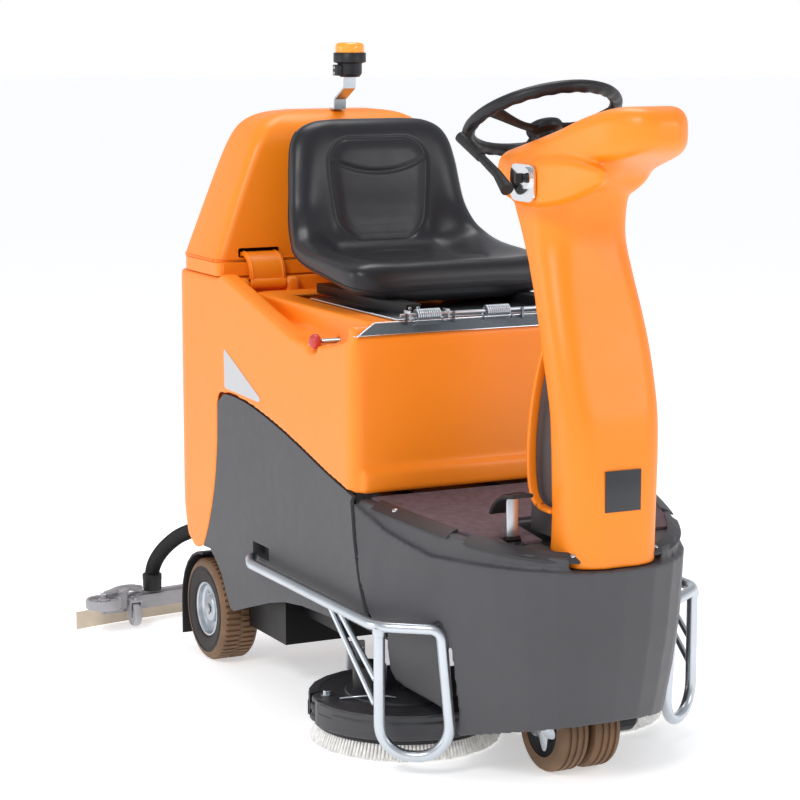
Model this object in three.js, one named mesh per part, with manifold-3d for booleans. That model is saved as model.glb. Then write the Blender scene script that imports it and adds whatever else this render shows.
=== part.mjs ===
// Ride-on floor scrubber, in millimetres, +Z up. The front of the machine faces -Y and the
// driver's right-hand side is -X. Parts are placed from the front axle's contact line on the
// floor; the machine group then moves the origin to the middle of the footprint.
import * as THREE from 'three';
import { mergeVertices } from 'three/addons/utils/BufferGeometryUtils.js';
import Module from 'manifold-3d';

const wasm = await Module();
wasm.setup();

// Driving dimensions
const FOOTPRINT_MIDDLE = 593; // from the front axle back to the middle of the machine's length
const WHEELBASE = 1066;
const BODY_HALF = 330;
const WALL = 6;
const GAP = 0.5;

const REAR_RADIUS = 115;
const REAR_TYRE_WIDTH = 88;
const REAR_OUTER = 327; // outer face of a rear tyre, from the centre plane
const REAR_HUB_RADIUS = 62;
const AXLE_RADIUS = 12;

const DRIVE_RADIUS = 90;
const DRIVE_TYRE_WIDTH = 60;
const DRIVE_TYRE_GAP = 10;
const FORK_SHAFT_RADIUS = 18;

const BRUSH_OFFSET = 191.5; // brush axis from the centre plane
const BRUSH_AXIS = 329; // behind the front axle
const BRUSH_RADIUS = 190;
const DECK_RADIUS = 193;
const DECK_TOP = 95;
const ROLLER = [349, 360]; // x and y of a deflector roller's axis
const BRUSH_MOTOR = [257, 354]; // x and y of a brush motor's axis

const RIM_FRONT = 430; // height of the front housing's rim
const PLATFORM_REAR = [285, 505]; // y and z of the sloping floor's two ends
const PLATFORM_FRONT = [-175, 452];

const PANEL_FRONT = 280; // front face of the tank body
const COAMING_HALF = 270;
const COAMING_TOP = 845;
const COAMING = [304, 922]; // front and rear of the raised tank top
const BAY_HALF = 205; // battery bay opening
const BAY = [352, 830];

const TANK_REAR = 1228;
const BAND_BOTTOM = 874;
const BAND_TOP = 903;
const LID_FRONT = 990;
const LID_REAR = 1207;
const LID_PIVOT = [1215, 909];

const PEDAL = [-46, 474]; // y and z of the pedal's pivot
const PEDAL_X = -155;
const FENDER_OUTER = 245; // outer face of the inner fender, from the centre plane
const FENDER_INNER = 239;
const GUARD_REAR = [-352, 115]; // x and y of the brush guard's two legs
const GUARD_FRONT = [-237, 34];
const RAIL_BEND = [-300, 72]; // x and y where the side rail's last straight begins and ends
const RAIL_END = [-256, 42.7];

const WHEEL_CENTRE = [126, 1243]; // steering wheel centre, y and z
const WHEEL_TILT = THREE.MathUtils.degToRad(27);
const WHEEL_RADIUS = 144;
const RIM_RADIUS = 12.5;
const SHAFT_LENGTH = 220;
const LOCK = [-56, 1146]; // y and z of the key lock's axis

const SEAT_HINGE = [300, 858]; // y and z of the seat plate's hinge rod
const LATCH_PIVOT = [947, 858];
const LATCH_X = 218;
const KNOB = [470, 793];

const TUBE_RADIUS = 11;
const TUBE_X = 360;
const TUBE_Z = 293;

const SQUEEGEE_BACK = 1505; // rear of the blade on the centre plane
const SQUEEGEE_SWEEP = 2080; // radius of the blade's curve
const SQUEEGEE_HALF = 500;
const LIFT_PIVOT = [1112, 182];
const GUIDE_X = 455;
const GUIDE_Y = 1374;
const CASTOR_X = 370;
const CASTOR = [1398, 34]; // y and z of a castor's axis
const HOSE_RADIUS = 17.5;
const HOSE_ROUTE = [
  [-285, 1150, 281], [-288, 1178, 275], [-292, 1215, 264], [-295, 1255, 250], [-298, 1295, 234],
  [-300, 1333, 215], [-302, 1368, 195], [-304, 1401, 172], [-305, 1430, 147], [-306, 1446, 123],
  [-306, 1449, 103],
];
const CUFF = [-306, 1449, 71];
const BEACON = [983, 1300]; // y and z of the beacon's foot

// Finishes
const orange = { color: 0xff8a1c, roughness: 0.42, metalness: 0 };
const darkGrey = { color: 0x58585c, roughness: 0.6, metalness: 0 };
const black = { color: 0x17171a, roughness: 0.5, metalness: 0 };
const mat = { color: 0x5a4a50, roughness: 0.9, metalness: 0 };
const brownRubber = { color: 0x6b4530, roughness: 0.8, metalness: 0 };
const zinc = { color: 0xc9d2d6, roughness: 0.25, metalness: 1 };
const castGrey = { color: 0x9a9a9e, roughness: 0.55, metalness: 0 };
const cream = { color: 0xd9cbb8, roughness: 0.7, metalness: 0 };
const bristle = { color: 0xe9e6e0, roughness: 0.8, metalness: 0 };
const amber = { color: 0xff9a10, roughness: 0.15, metalness: 0 };
const red = { color: 0xb23a3a, roughness: 0.4, metalness: 0 };

const machine = new THREE.Group();
machine.position.y = -FOOTPRINT_MIDDLE;

function addPart(name, shape, finish) {
  const geometry = shape instanceof THREE.BufferGeometry ? shape : geometryOf(shape);
  const mesh = new THREE.Mesh(geometry, new THREE.MeshStandardMaterial(finish));
  mesh.name = name;
  machine.add(mesh);
  return mesh;
}

// Solids
function solid(geometry) {
  const bare = geometry.index ? geometry.toNonIndexed() : geometry.clone();
  bare.deleteAttribute('normal');
  bare.deleteAttribute('uv');
  const merged = mergeVertices(bare, 1e-4);
  const mesh = new wasm.Mesh({
    numProp: 3,
    vertProperties: new Float32Array(merged.attributes.position.array),
    triVerts: new Uint32Array(merged.index.array),
  });
  return new wasm.Manifold(mesh);
}

function geometryOf(manifold) {
  const mesh = manifold.getMesh();
  const geometry = new THREE.BufferGeometry();
  geometry.setAttribute('position', new THREE.BufferAttribute(mesh.vertProperties, 3));
  geometry.setIndex(new THREE.BufferAttribute(mesh.triVerts, 1));
  return geometry;
}

function join(...solids) {
  return solids.reduce((sum, next) => sum.add(next));
}

function cut(base, ...tools) {
  return tools.reduce((rest, tool) => rest.subtract(tool), base);
}

function mirrored(manifold) {
  return manifold.mirror([1, 0, 0]);
}

// Box between two corners
function box(low, high) {
  const size = high.map((value, i) => value - low[i]);
  const geometry = new THREE.BoxGeometry(...size);
  geometry.translate(...low.map((value, i) => value + size[i] / 2));
  return solid(geometry);
}

// Cylinder between two points, which may taper
function rod(from, to, radius, sides = 24, endRadius = radius) {
  const start = new THREE.Vector3(...from);
  const along = new THREE.Vector3(...to).sub(start);
  const geometry = new THREE.CylinderGeometry(endRadius, radius, along.length(), sides);
  geometry.translate(0, along.length() / 2, 0);
  const turn = new THREE.Quaternion();
  turn.setFromUnitVectors(new THREE.Vector3(0, 1, 0), along.clone().normalize());
  geometry.applyQuaternion(turn);
  geometry.translate(...from);
  return solid(geometry);
}

function shapeOf(points) {
  return new THREE.Shape(points.map(([a, b]) => new THREE.Vector2(a, b)));
}

function extrude(points, depth, basis) {
  const geometry = new THREE.ExtrudeGeometry(shapeOf(points), { depth, bevelEnabled: false });
  geometry.applyMatrix4(basis);
  return solid(geometry);
}

// Outline in Y and Z, extruded from x0 to x1
function extrudeX(points, x0, x1) {
  const basis = new THREE.Matrix4().makeBasis(
    new THREE.Vector3(0, 1, 0), new THREE.Vector3(0, 0, 1), new THREE.Vector3(1, 0, 0));
  return extrude(points, x1 - x0, basis.setPosition(x0, 0, 0));
}

// Outline in X and Y, extruded from z0 to z1
function extrudeZ(points, z0, z1) {
  return extrude(points, z1 - z0, new THREE.Matrix4().makeTranslation(0, 0, z0));
}

// Solid of revolution about an axis through a point; the profile is radius and distance along it
function turned(profile, at, axis, segments = 32) {
  const points = profile.map(([r, h]) => new THREE.Vector2(r, h));
  const geometry = new THREE.LatheGeometry(points, segments);
  const turn = new THREE.Quaternion();
  turn.setFromUnitVectors(new THREE.Vector3(0, 1, 0), new THREE.Vector3(...axis).normalize());
  geometry.applyQuaternion(turn);
  geometry.translate(...at);
  return outward(geometry);
}

// Makes a closed mesh's faces point outwards
function outward(geometry) {
  const made = solid(geometry);
  if (made.volume() > 0) return made;
  const flat = geometry.index ? geometry.toNonIndexed() : geometry;
  const p = flat.attributes.position;
  const flipped = [];
  for (let i = 0; i < p.count; i += 3) {
    for (const j of [i, i + 2, i + 1]) flipped.push(p.getX(j), p.getY(j), p.getZ(j));
  }
  const turnedOut = new THREE.BufferGeometry();
  turnedOut.setAttribute('position', new THREE.Float32BufferAttribute(flipped, 3));
  return solid(turnedOut);
}

// Round tube along a smooth curve through points
function tube(points, radius, steps, sides = 12) {
  const knots = points.map((p) => new THREE.Vector3(...p));
  const path = new THREE.CatmullRomCurve3(knots, false, 'centripetal');
  return tubeAlong(path, radius, steps, sides);
}

function tubeAlong(path, radius, steps, sides = 12) {
  const section = [];
  for (let i = 0; i < sides; i += 1) {
    const a = (i / sides) * 2 * Math.PI;
    section.push([radius * Math.cos(a), radius * Math.sin(a)]);
  }
  const options = { steps, extrudePath: path, bevelEnabled: false };
  return outward(new THREE.ExtrudeGeometry(shapeOf(section), options));
}

// Closed skin through rings of equal point counts; each end is closed by a flat cap
function loft(rings) {
  const count = rings[0].length;
  const positions = [];
  const put = (...points) => points.forEach((p) => positions.push(...p));
  for (let r = 0; r + 1 < rings.length; r += 1) {
    for (let i = 0; i < count; i += 1) {
      const j = (i + 1) % count;
      put(rings[r][i], rings[r][j], rings[r + 1][j]);
      put(rings[r][i], rings[r + 1][j], rings[r + 1][i]);
    }
  }
  const flatAxis = [0, 1, 2].find((axis) => rings[0].every((p) => p[axis] === rings[0][0][axis]));
  const kept = [0, 1, 2].filter((axis) => axis !== flatAxis);
  [rings[0], rings[rings.length - 1]].forEach((ring, end) => {
    const outline = ring.map((p) => new THREE.Vector2(p[kept[0]], p[kept[1]]));
    const reversed = THREE.ShapeUtils.isClockWise(outline);
    if (reversed) outline.reverse();
    const at = (i) => ring[reversed ? count - 1 - i : i];
    const walkedForward = !reversed;
    THREE.ShapeUtils.triangulateShape(outline, []).forEach(([a, b, c]) => {
      if ((end === 0) === walkedForward) put(at(a), at(c), at(b));
      else put(at(a), at(b), at(c));
    });
  });
  const geometry = new THREE.BufferGeometry();
  geometry.setAttribute('position', new THREE.Float32BufferAttribute(positions, 3));
  return outward(geometry);
}

// Rounded rectangle between two corners: a corner radius for the low-y and the high-y ends
function roundedOutline(halfX, y0, y1, r0, r1, steps = 4) {
  const corners = [
    [-halfX + r0, y0 + r0, r0, Math.PI], [halfX - r0, y0 + r0, r0, 1.5 * Math.PI],
    [halfX - r1, y1 - r1, r1, 0], [-halfX + r1, y1 - r1, r1, 0.5 * Math.PI],
  ];
  return corners.flatMap(([cx, cy, r, start]) => {
    const points = [];
    for (let i = 0; i <= steps; i += 1) {
      const a = start + (i / steps) * 0.5 * Math.PI;
      points.push([cx + r * Math.cos(a), cy + r * Math.sin(a)]);
    }
    return points;
  });
}

// Moves every side of a closed outline inwards by a distance
function inset(points, distance) {
  const area = THREE.ShapeUtils.area(points.map(([x, y]) => new THREE.Vector2(x, y)));
  const sign = Math.sign(area);
  const count = points.length;
  return points.map((point, i) => {
    const before = points[(i + count - 1) % count];
    const after = points[(i + 1) % count];
    const a = new THREE.Vector2(point[0] - before[0], point[1] - before[1]).normalize();
    const b = new THREE.Vector2(after[0] - point[0], after[1] - point[1]).normalize();
    const n = new THREE.Vector2(-(a.y + b.y), a.x + b.x).multiplyScalar(sign);
    const scale = distance / Math.max(0.3, n.dot(new THREE.Vector2(-a.y, a.x).multiplyScalar(sign)));
    return [point[0] + n.x * scale, point[1] + n.y * scale];
  });
}

function sampleCurve(curve, steps) {
  return curve.getPoints(steps).map((p) => [p.x, p.y]);
}

// Line where the orange tank body meets the grey side panels, front to rear, in Y and Z
function splitLine() {
  const points = [[281, 513], [406, 539], [527, 569], [653, 597], [785, 619], [880, 626], [958, 622]];
  const curve = new THREE.SplineCurve(points.map(([y, z]) => new THREE.Vector2(y, z)));
  return sampleCurve(curve, 14);
}

// Forward edge of the rear column, top to tip
function creaseLine() {
  const points = [[968, 600], [972, 500], [992, 400], [1028, 312], [1058, 262]];
  const curve = new THREE.SplineCurve(points.map(([y, z]) => new THREE.Vector2(y, z)));
  return sampleCurve(curve, 8);
}

function bodyOutline(shrink = 0) {
  return inset(roundedOutline(BODY_HALF, PANEL_FRONT, TANK_REAR, 24, 70), shrink);
}

// Orange tank body: a moulded shell, open below, with a battery bay and a bay for the dirty tank
function tankBody() {
  const profile = [
    ...splitLine(), ...creaseLine(),
    [1080, 252], [1112, 248], [1150, 268], [1180, 320], [1205, 400], [1222, 500], [TANK_REAR, 600],
    [TANK_REAR, 740], [1215, 825], [1203, BAND_BOTTOM], [956, BAND_BOTTOM], [943, 884],
    [563, 790], [500, 785], [400, 792], [300, 815], [PANEL_FRONT, 815],
  ];
  const bare = extrudeX(profile, -BODY_HALF, BODY_HALF).intersect(extrudeZ(bodyOutline(), 200, 950));
  const coamingOutline = roundedOutline(COAMING_HALF, COAMING[0], COAMING[1], 40, 40, 4);
  const coaming = extrudeZ(coamingOutline, 700, COAMING_TOP);
  const frontLip = extrudeX([[270, 515], [300, 520], [300, 562], [276, 562], [270, 556]], -308, 308);
  const head = extrudeX([[282, 760], [320, 760], [320, 843], [301, 843], [282, 823.9]], -322, 322);
  const trough = box([-288, 340, 800], [288, 962, 1000]);
  const bosses = [-1, 1].flatMap((side) => [[262, 284], [145, 174]].map(([a, b]) => {
    const [x0, x1] = side > 0 ? [a, b] : [-b, -a];
    const barrel = rod([x0, ...LATCH_PIVOT], [x1, ...LATCH_PIVOT], 14, 16);
    return join(barrel, box([x0, 935, 795], [x1, 959, LATCH_PIVOT[1]]));
  }));
  const pins = [-1, 1].map((side) => rod(
    [side * 150, ...LATCH_PIVOT], [side * 280, ...LATCH_PIVOT], 4, 10));
  const outer = join(cut(bare, trough), coaming, frontLip, head, ...bosses, ...pins);
  const hollowProfile = [
    [PANEL_FRONT + WALL, 150], [TANK_REAR - WALL, 150], [TANK_REAR - WALL, 735],
    [1208, 820], [1196, BAND_BOTTOM - WALL], [1000, BAND_BOTTOM - WALL], [1000, 790], [563, 778],
    [500, 768], [400, 768], [PANEL_FRONT + WALL, 800],
  ];
  const hollow = extrudeX(hollowProfile, -BODY_HALF + WALL, BODY_HALF - WALL)
    .intersect(extrudeZ(bodyOutline(WALL), 100, 900));
  const coamingHollow = box(
    [-COAMING_HALF + WALL, 328, 600], [COAMING_HALF - WALL, COAMING[1] - WALL, COAMING_TOP - WALL]);
  const bay = box([-BAY_HALF, BAY[0], 600], [BAY_HALF, BAY[1], 900]);
  const dirtyBay = box([-306, 968, 600], [306, 1190, 900]);
  const hosePort = rod([-285, 1120, 281], [-285, 1300, 262], HOSE_RADIUS + 1);
  const knobHole = rod([-400, ...KNOB], [-250, ...KNOB], 5.6, 12);
  const knobRecess = box([-BODY_HALF - 1, KNOB[0] - 24, 774], [-312, KNOB[0] + 24, 900]);
  return cut(outer, hollow, coamingHollow, bay, dirtyBay, hosePort, knobHole, knobRecess);
}

// Grey side panel below the split line, on the -X side
function sidePanel() {
  const top = splitLine().map(([y, z]) => [y, z - 1]).slice(0, -1);
  const rear = creaseLine().map(([y, z]) => [y - 1.2, z]);
  const profile = [
    ...top, ...rear, [1018, 264], [980, 240], [952, 217], [919, 168], [905, 152], [886, 150],
    [840, 165], [795, 179], [700, 208], [609, 230], [520, 241], [430, 246], [339, 250], [222, 284],
    [240, 318], [256, 351], [277, 426], [289, 500],
  ];
  const slotBacking = box([-BODY_HALF + 7, 684, 294], [-BODY_HALF + 30, 781, 334]);
  const slot = box([-BODY_HALF - 1, 690, 300], [-BODY_HALF + 26, 775, 328]);
  return cut(join(extrudeX(profile, -BODY_HALF, -BODY_HALF + 8), slotBacking), slot);
}

// Plan outline of the front housing at one level: the shrink draws in its nose, the edge is where
// it leaves the straight flank, and the extra draws in every side
function housingOutline([shrink, edge], extra, steps = 9) {
  const half = 328 - extra;
  const drawn = shrink + extra;
  const front = -200 + drawn;
  const curve = new THREE.CubicBezierCurve(
    new THREE.Vector2(-half, edge), new THREE.Vector2(-272 + drawn, 80 - 0.3 * (300 - edge)),
    new THREE.Vector2(-222 + drawn, front - 8), new THREE.Vector2(0, front));
  const left = [[-half, 301], ...sampleCurve(curve, steps)];
  const right = left.slice(0, -1).reverse().map(([x, y]) => [-x, y]);
  return [...left, ...right];
}

function housingSkin(extra) {
  const levels = [
    [60, 60, 205], [120, 43, 208], [200, 27, 214], [300, 12, 232], [430, 0, 278], [560, 0, 300],
  ];
  return loft(levels.map(([z, ...level]) => housingOutline(level, extra).map(([x, y]) => [x, y, z])));
}

function platformHeight(y) {
  const [y1, z1] = PLATFORM_REAR;
  const [y0, z0] = PLATFORM_FRONT;
  return z0 + ((y - y0) / (y1 - y0)) * (z1 - z0);
}

// Inner fender on the -X side, between the drive wheel and the brush deck
function innerFender() {
  const side = [
    [54, 430], [54, 130], [200, 132], [262, 136], [288, 152], [302, 200], [302, 400], [272, 470],
    [200, 445], [100, 430],
  ];
  const plate = extrudeX(side, -FENDER_OUTER, -FENDER_INNER);
  const below = box([-400, 0, 0], [0, 400, 275]);
  return join(plate.intersect(housingSkin(0.5)), plate.intersect(below));
}

// Grey front housing: a bowl around the drive wheel with a raised, sloping floor on top
function frontHousing() {
  const side = [
    [-230, 138], [-155, 128], [36, 80], [52, 272], [214, 280], [230, 302], [246, 338], [254, 352],
    [275, 427], [287, 499], [190, 458], [70, RIM_FRONT], [-230, RIM_FRONT],
  ];
  const floorSide = [
    [-240, platformHeight(-240)], [-240, 405], [100, 405], [200, 430], [284, 470],
    [284, platformHeight(284)],
  ];
  const ledgeSide = [
    [-240, RIM_FRONT - 4], [-240, 405], [60, 405], [190, 434], [270, 472], [262, 478], [180, 450],
    [60, RIM_FRONT - 4],
  ];
  const [wide, low, high] = [400, 0, 404];
  const skirt = extrudeX(side, -wide, wide);
  const bowl = housingSkin(0).intersect(skirt);
  const floor = housingSkin(12).intersect(extrudeX(floorSide, -wide, wide));
  const ledge = housingSkin(3).intersect(extrudeX(ledgeSide, -wide, wide));
  const inside = housingSkin(WALL).intersect(box([-wide, -wide, low], [wide, wide, high]));
  const openBack = box([-wide, 204, low], [wide, 320, high]);
  const columnWell = extrudeZ(roundedOutline(99, -260, 60, 20, 10, 3), RIM_FRONT, 600);
  const shaftHole = rod([0, 0, 300], [0, 0, 600], FORK_SHAFT_RADIUS + 8);
  const upper = cut(join(floor, ledge), columnWell, shaftHole, pedalPocket());
  const flanks = cut(housingSkin(0), housingSkin(WALL)).intersect(skirt);
  const lower = cut(bowl, inside, openBack, box([-wide, -wide, high], [wide, wide, 600]));
  const clearRadius = TUBE_RADIUS + 1;
  const railEnd = rod(
    [RAIL_END[0] + 1.2, RAIL_END[1] - 0.8, TUBE_Z], [RAIL_BEND[0] - 9, RAIL_BEND[1] + 6, TUBE_Z],
    clearRadius, 16);
  const clearance = join(guardTube(clearRadius), railEnd);
  const fenders = [innerFender(), mirrored(innerFender())];
  return cut(join(lower, flanks, upper, ...fenders), clearance, mirrored(clearance));
}

// Opening in the floor around the pedal's foot
function pedalPocket() {
  const [y, z] = PEDAL;
  return box([PEDAL_X - 17, y - 20, z - 18], [PEDAL_X + 17, y + 20, z + 40]);
}

// Foot mat on the sloping floor
function footMat() {
  const [front, rear, thickness] = [-62, 272, 5];
  const under = (y) => platformHeight(y) + GAP;
  const side = [
    [front, under(front)], [rear, under(rear)], [rear, under(rear) + thickness],
    [front, under(front) + thickness],
  ];
  const plan = extrudeZ(housingOutline([0, 300], 30), 400, 600);
  const well = extrudeZ(roundedOutline(100, -260, 72, 20, 10, 3), 300, 600);
  return cut(extrudeX(side, -400, 400).intersect(plan), well, pedalPocket());
}

function columnRing([z, half, front, rear], shrink) {
  const nose = Math.min(78, (rear - front) * 0.62, half - 6) - shrink * 0.5;
  const outline = roundedOutline(half - shrink, front + shrink, rear - shrink, nose, 6, 3);
  return outline.map(([x, y]) => [x, y, z]);
}

function headRing([y, half, low, high], shrink) {
  const r = Math.min(half, (high - low) / 2) * 0.62;
  const outline = roundedOutline(half - shrink, low + shrink, high - shrink, r, r * 0.7, 2);
  return outline.map(([x, z]) => [x, y, z]);
}

// Orange steering column: a tall shell that grows into an overhanging console
function columnShell() {
  const rings = [
    [431, 97, -186, -78], [520, 98, -186, -86], [620, 101, -183, -88], [700, 104, -172, -88],
    [760, 106, -153, -78], [830, 106, -132, -56], [900, 103, -106, -30], [970, 99, -80, 2],
    [1030, 98, -64, 32], [1090, 99, -68, 62], [1150, 98, -92, 84],
  ];
  const head = [
    [119, 92, 1128, 1181], [108, 106, 1104, 1187], [60, 111, 1090, 1200], [0, 112, 1088, 1216],
    [-80, 109, 1112, 1236], [-112, 107, 1142, 1244], [-150, 102, 1162, 1257], [-210, 92, 1178, 1274],
    [-260, 76, 1190, 1281], [-298, 53, 1203, 1275], [-319, 25, 1218, 1256],
  ];
  const pod = [
    [22, -130, 26, 1094, 1166], [-20, -130, 28, 1094, 1176], [-90, -128, 28, 1096, 1184],
    [-160, -116, 22, 1112, 1186], [-215, -102, 16, 1134, 1178], [-245, -92, 8, 1148, 1170],
  ];
  const column = (shrink) => loft(rings.map((ring) => columnRing(ring, shrink)));
  const console = (shrink) => loft(head.map((ring) => headRing(ring, shrink)));
  const podSkin = loft(pod.map(([y, x, half, low, high]) => headRing([y, half, low, high], 0)
    .map((p) => [p[0] + x + half, p[1], p[2]])));
  const skin = join(column(0), console(0), podSkin);
  const inside = join(column(4), console(4).intersect(box([-200, -260, 1000], [200, 110, 1300])));
  const foot = box([-90, -180, 400], [90, -82, 440]);
  const backWindow = box([-78, -100, 420], [78, 60, 850]);
  const [y, z] = WHEEL_CENTRE;
  const reach = SHAFT_LENGTH + 5;
  const shaftEnd = [0, y - reach * Math.sin(WHEEL_TILT), z - reach * Math.cos(WHEEL_TILT)];
  const shaftHole = rod([0, y, z], shaftEnd, 11.5);
  return cut(skin, inside, foot, backWindow, shaftHole, displayBlock(GAP));
}

// Dark rear cover of the column, open below
function columnInsert() {
  const rings = [
    [472, 76, -86, 46], [600, 76, -87, 38], [720, 74, -85, 32], [790, 66, -68, 26], [838, 44, -52, 14],
  ];
  const ring = ([z, half, front, rear], shrink) => {
    const corner = Math.min(30, half - shrink - 2);
    const outline = roundedOutline(half - shrink, front + shrink, rear - shrink, 6, corner, 4);
    return outline.map(([x, y]) => [x, y, z]);
  };
  const skin = loft(rings.map((r) => ring(r, 0)));
  const hollow = loft(rings.slice(0, -1).map((r) => ring(r, 4)));
  return cut(skin, hollow);
}

// Steering wheel with a thick rim, a hub and three spokes, in its own tilted frame
function steeringWheel() {
  const rim = solid(new THREE.TorusGeometry(WHEEL_RADIUS, RIM_RADIUS, 8, 28));
  const hubProfile = [[0, -38], [18, -38], [22, -20], [34, -14], [34, 2], [26, 8], [0, 10]];
  const hub = turned(hubProfile, [0, 0, 0], [0, 0, 1], 16);
  const spokes = [90, 200, 340].map((degrees) => {
    const a = THREE.MathUtils.degToRad(degrees);
    const from = [20 * Math.cos(a), 20 * Math.sin(a), -8];
    const to = [WHEEL_RADIUS * Math.cos(a), WHEEL_RADIUS * Math.sin(a), 0];
    return rod(from, to, 13, 8, 8);
  });
  return join(rim, hub, ...spokes);
}

function steeringShaft() {
  return rod([0, 0, -GAP - 38], [0, 0, -SHAFT_LENGTH], 9, 16);
}

// Plated key plate on the side of the console
function keyPlate() {
  const outline = roundedOutline(44, 1102, 1170, 18, 18, 3).map(([y, z]) => [y - 38, z]);
  const plate = extrudeX(outline, -135.5, -131);
  const ring = rod([-135, ...LOCK], [-141, ...LOCK], 20, 20);
  const keyway = rod([-130, ...LOCK], [-150, ...LOCK], 8.5, 16);
  return cut(join(plate, ring), keyway);
}

function ignitionKey() {
  const barrel = rod([-134, ...LOCK], [-146, ...LOCK], 7.8, 16);
  const bow = box([-160, LOCK[0] - 3, LOCK[1] - 9], [-145, LOCK[0] + 3, LOCK[1] + 9]);
  return join(barrel, bow);
}

// Direction lever with its rubber boot
function driveLever() {
  const boot = rod([-151, -12, 1122], [-150, 28, 1148], 13, 12, 9);
  const stem = rod([-150, 26, 1147], [-152, 100, 1181], 9, 12, 8);
  const grip = rod([-151, 90, 1176], [-163, 152, 1212], 10, 12, 11);
  return join(boot, stem, grip);
}

// Display let into the sloping top of the console, behind the steering wheel
function displayBlock(grow) {
  const outline = [[-45, 1219], [62, 1191], [62, 1203.5], [-45, 1230]];
  return extrudeX(inset(outline, -grow), -50 - grow, 50 + grow);
}

// Twin-tyred drive wheel
function driveTyre(x0) {
  const half = DRIVE_TYRE_WIDTH / 2;
  const profile = [
    [60.6, -half], [80, -half], [DRIVE_RADIUS, -half + 12], [DRIVE_RADIUS, half - 12], [80, half],
    [60.6, half], [60.6, -half],
  ];
  return turned(profile, [x0, 0, DRIVE_RADIUS], [1, 0, 0], 24);
}

function driveHub() {
  const half = DRIVE_TYRE_WIDTH + DRIVE_TYRE_GAP / 2;
  const drum = turned([
    [0, -half + 14], [34, -half + 14], [46, -half + 6], [59.5, -half + 2], [59.5, half - 2],
    [46, half - 8], [0, half - 8],
  ], [0, 0, DRIVE_RADIUS], [1, 0, 0], 20);
  const boss = rod([-half - 4, 0, DRIVE_RADIUS], [-half + 20, 0, DRIVE_RADIUS], 16, 20);
  return join(drum, boss);
}

// Steered fork: vertical shaft, top plate and one cheek on the +X side
function driveFork() {
  const cheekX = DRIVE_TYRE_WIDTH + DRIVE_TYRE_GAP / 2 + 4;
  const shaft = rod([0, 0, 200], [0, 0, 770], FORK_SHAFT_RADIUS, 24);
  const plate = box([-60, -60, 196], [cheekX + 12, 60, 212]);
  const cheek = box([cheekX, -34, 62], [cheekX + 12, 34, 200]);
  const collar = rod([0, 0, 205], [0, 0, 232], 34, 24);
  return join(shaft, plate, cheek, collar);
}

function driveMotor() {
  const x = DRIVE_TYRE_WIDTH + DRIVE_TYRE_GAP / 2 + 4 + 12 + GAP;
  return turned([[0, 0], [42, 0], [42, 46], [36, 54], [0, 54]], [x, 0, 100], [1, 0, 0], 20);
}

// Rear wheel parts on the +X side
function rearTyre() {
  const inner = REAR_OUTER - REAR_TYRE_WIDTH;
  const profile = [
    [REAR_HUB_RADIUS + 1, 4], [103, 0], [REAR_RADIUS, 12], [REAR_RADIUS, REAR_TYRE_WIDTH - 12],
    [103, REAR_TYRE_WIDTH], [REAR_HUB_RADIUS + 1, REAR_TYRE_WIDTH - 4], [REAR_HUB_RADIUS + 1, 4],
  ];
  return turned(profile, [inner, WHEELBASE, REAR_RADIUS], [1, 0, 0], 24);
}

function rearHub() {
  const inner = REAR_OUTER - REAR_TYRE_WIDTH;
  const bore = AXLE_RADIUS + 0.6;
  const profile = [
    [bore, 8], [40, 8], [REAR_HUB_RADIUS, 12], [REAR_HUB_RADIUS, REAR_TYRE_WIDTH - 8],
    [60, REAR_TYRE_WIDTH - 6], [56, REAR_TYRE_WIDTH - 22], [30, REAR_TYRE_WIDTH - 26],
    [26, REAR_TYRE_WIDTH - 12], [bore, REAR_TYRE_WIDTH - 12], [bore, 8],
  ];
  return turned(profile, [inner, WHEELBASE, REAR_RADIUS], [1, 0, 0], 20);
}

function rearAxle() {
  const end = REAR_OUTER - 14;
  return rod([-end, WHEELBASE, REAR_RADIUS], [end, WHEELBASE, REAR_RADIUS], AXLE_RADIUS, 20);
}

// Rubber flap that wraps over and behind the rear wheel on the +X side
function mudFlap() {
  const band = (radius) => {
    const points = [];
    for (let i = 0; i <= 6; i += 1) {
      const a = THREE.MathUtils.degToRad(90 - i * 15);
      points.push([WHEELBASE + radius * Math.cos(a), REAR_RADIUS + radius * Math.sin(a)]);
    }
    return [...points, [WHEELBASE + radius, 32]];
  };
  const profile = [...band(130), ...band(125).reverse()];
  return extrudeX(profile, REAR_OUTER - REAR_TYRE_WIDTH - 2, REAR_OUTER + 2);
}

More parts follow.
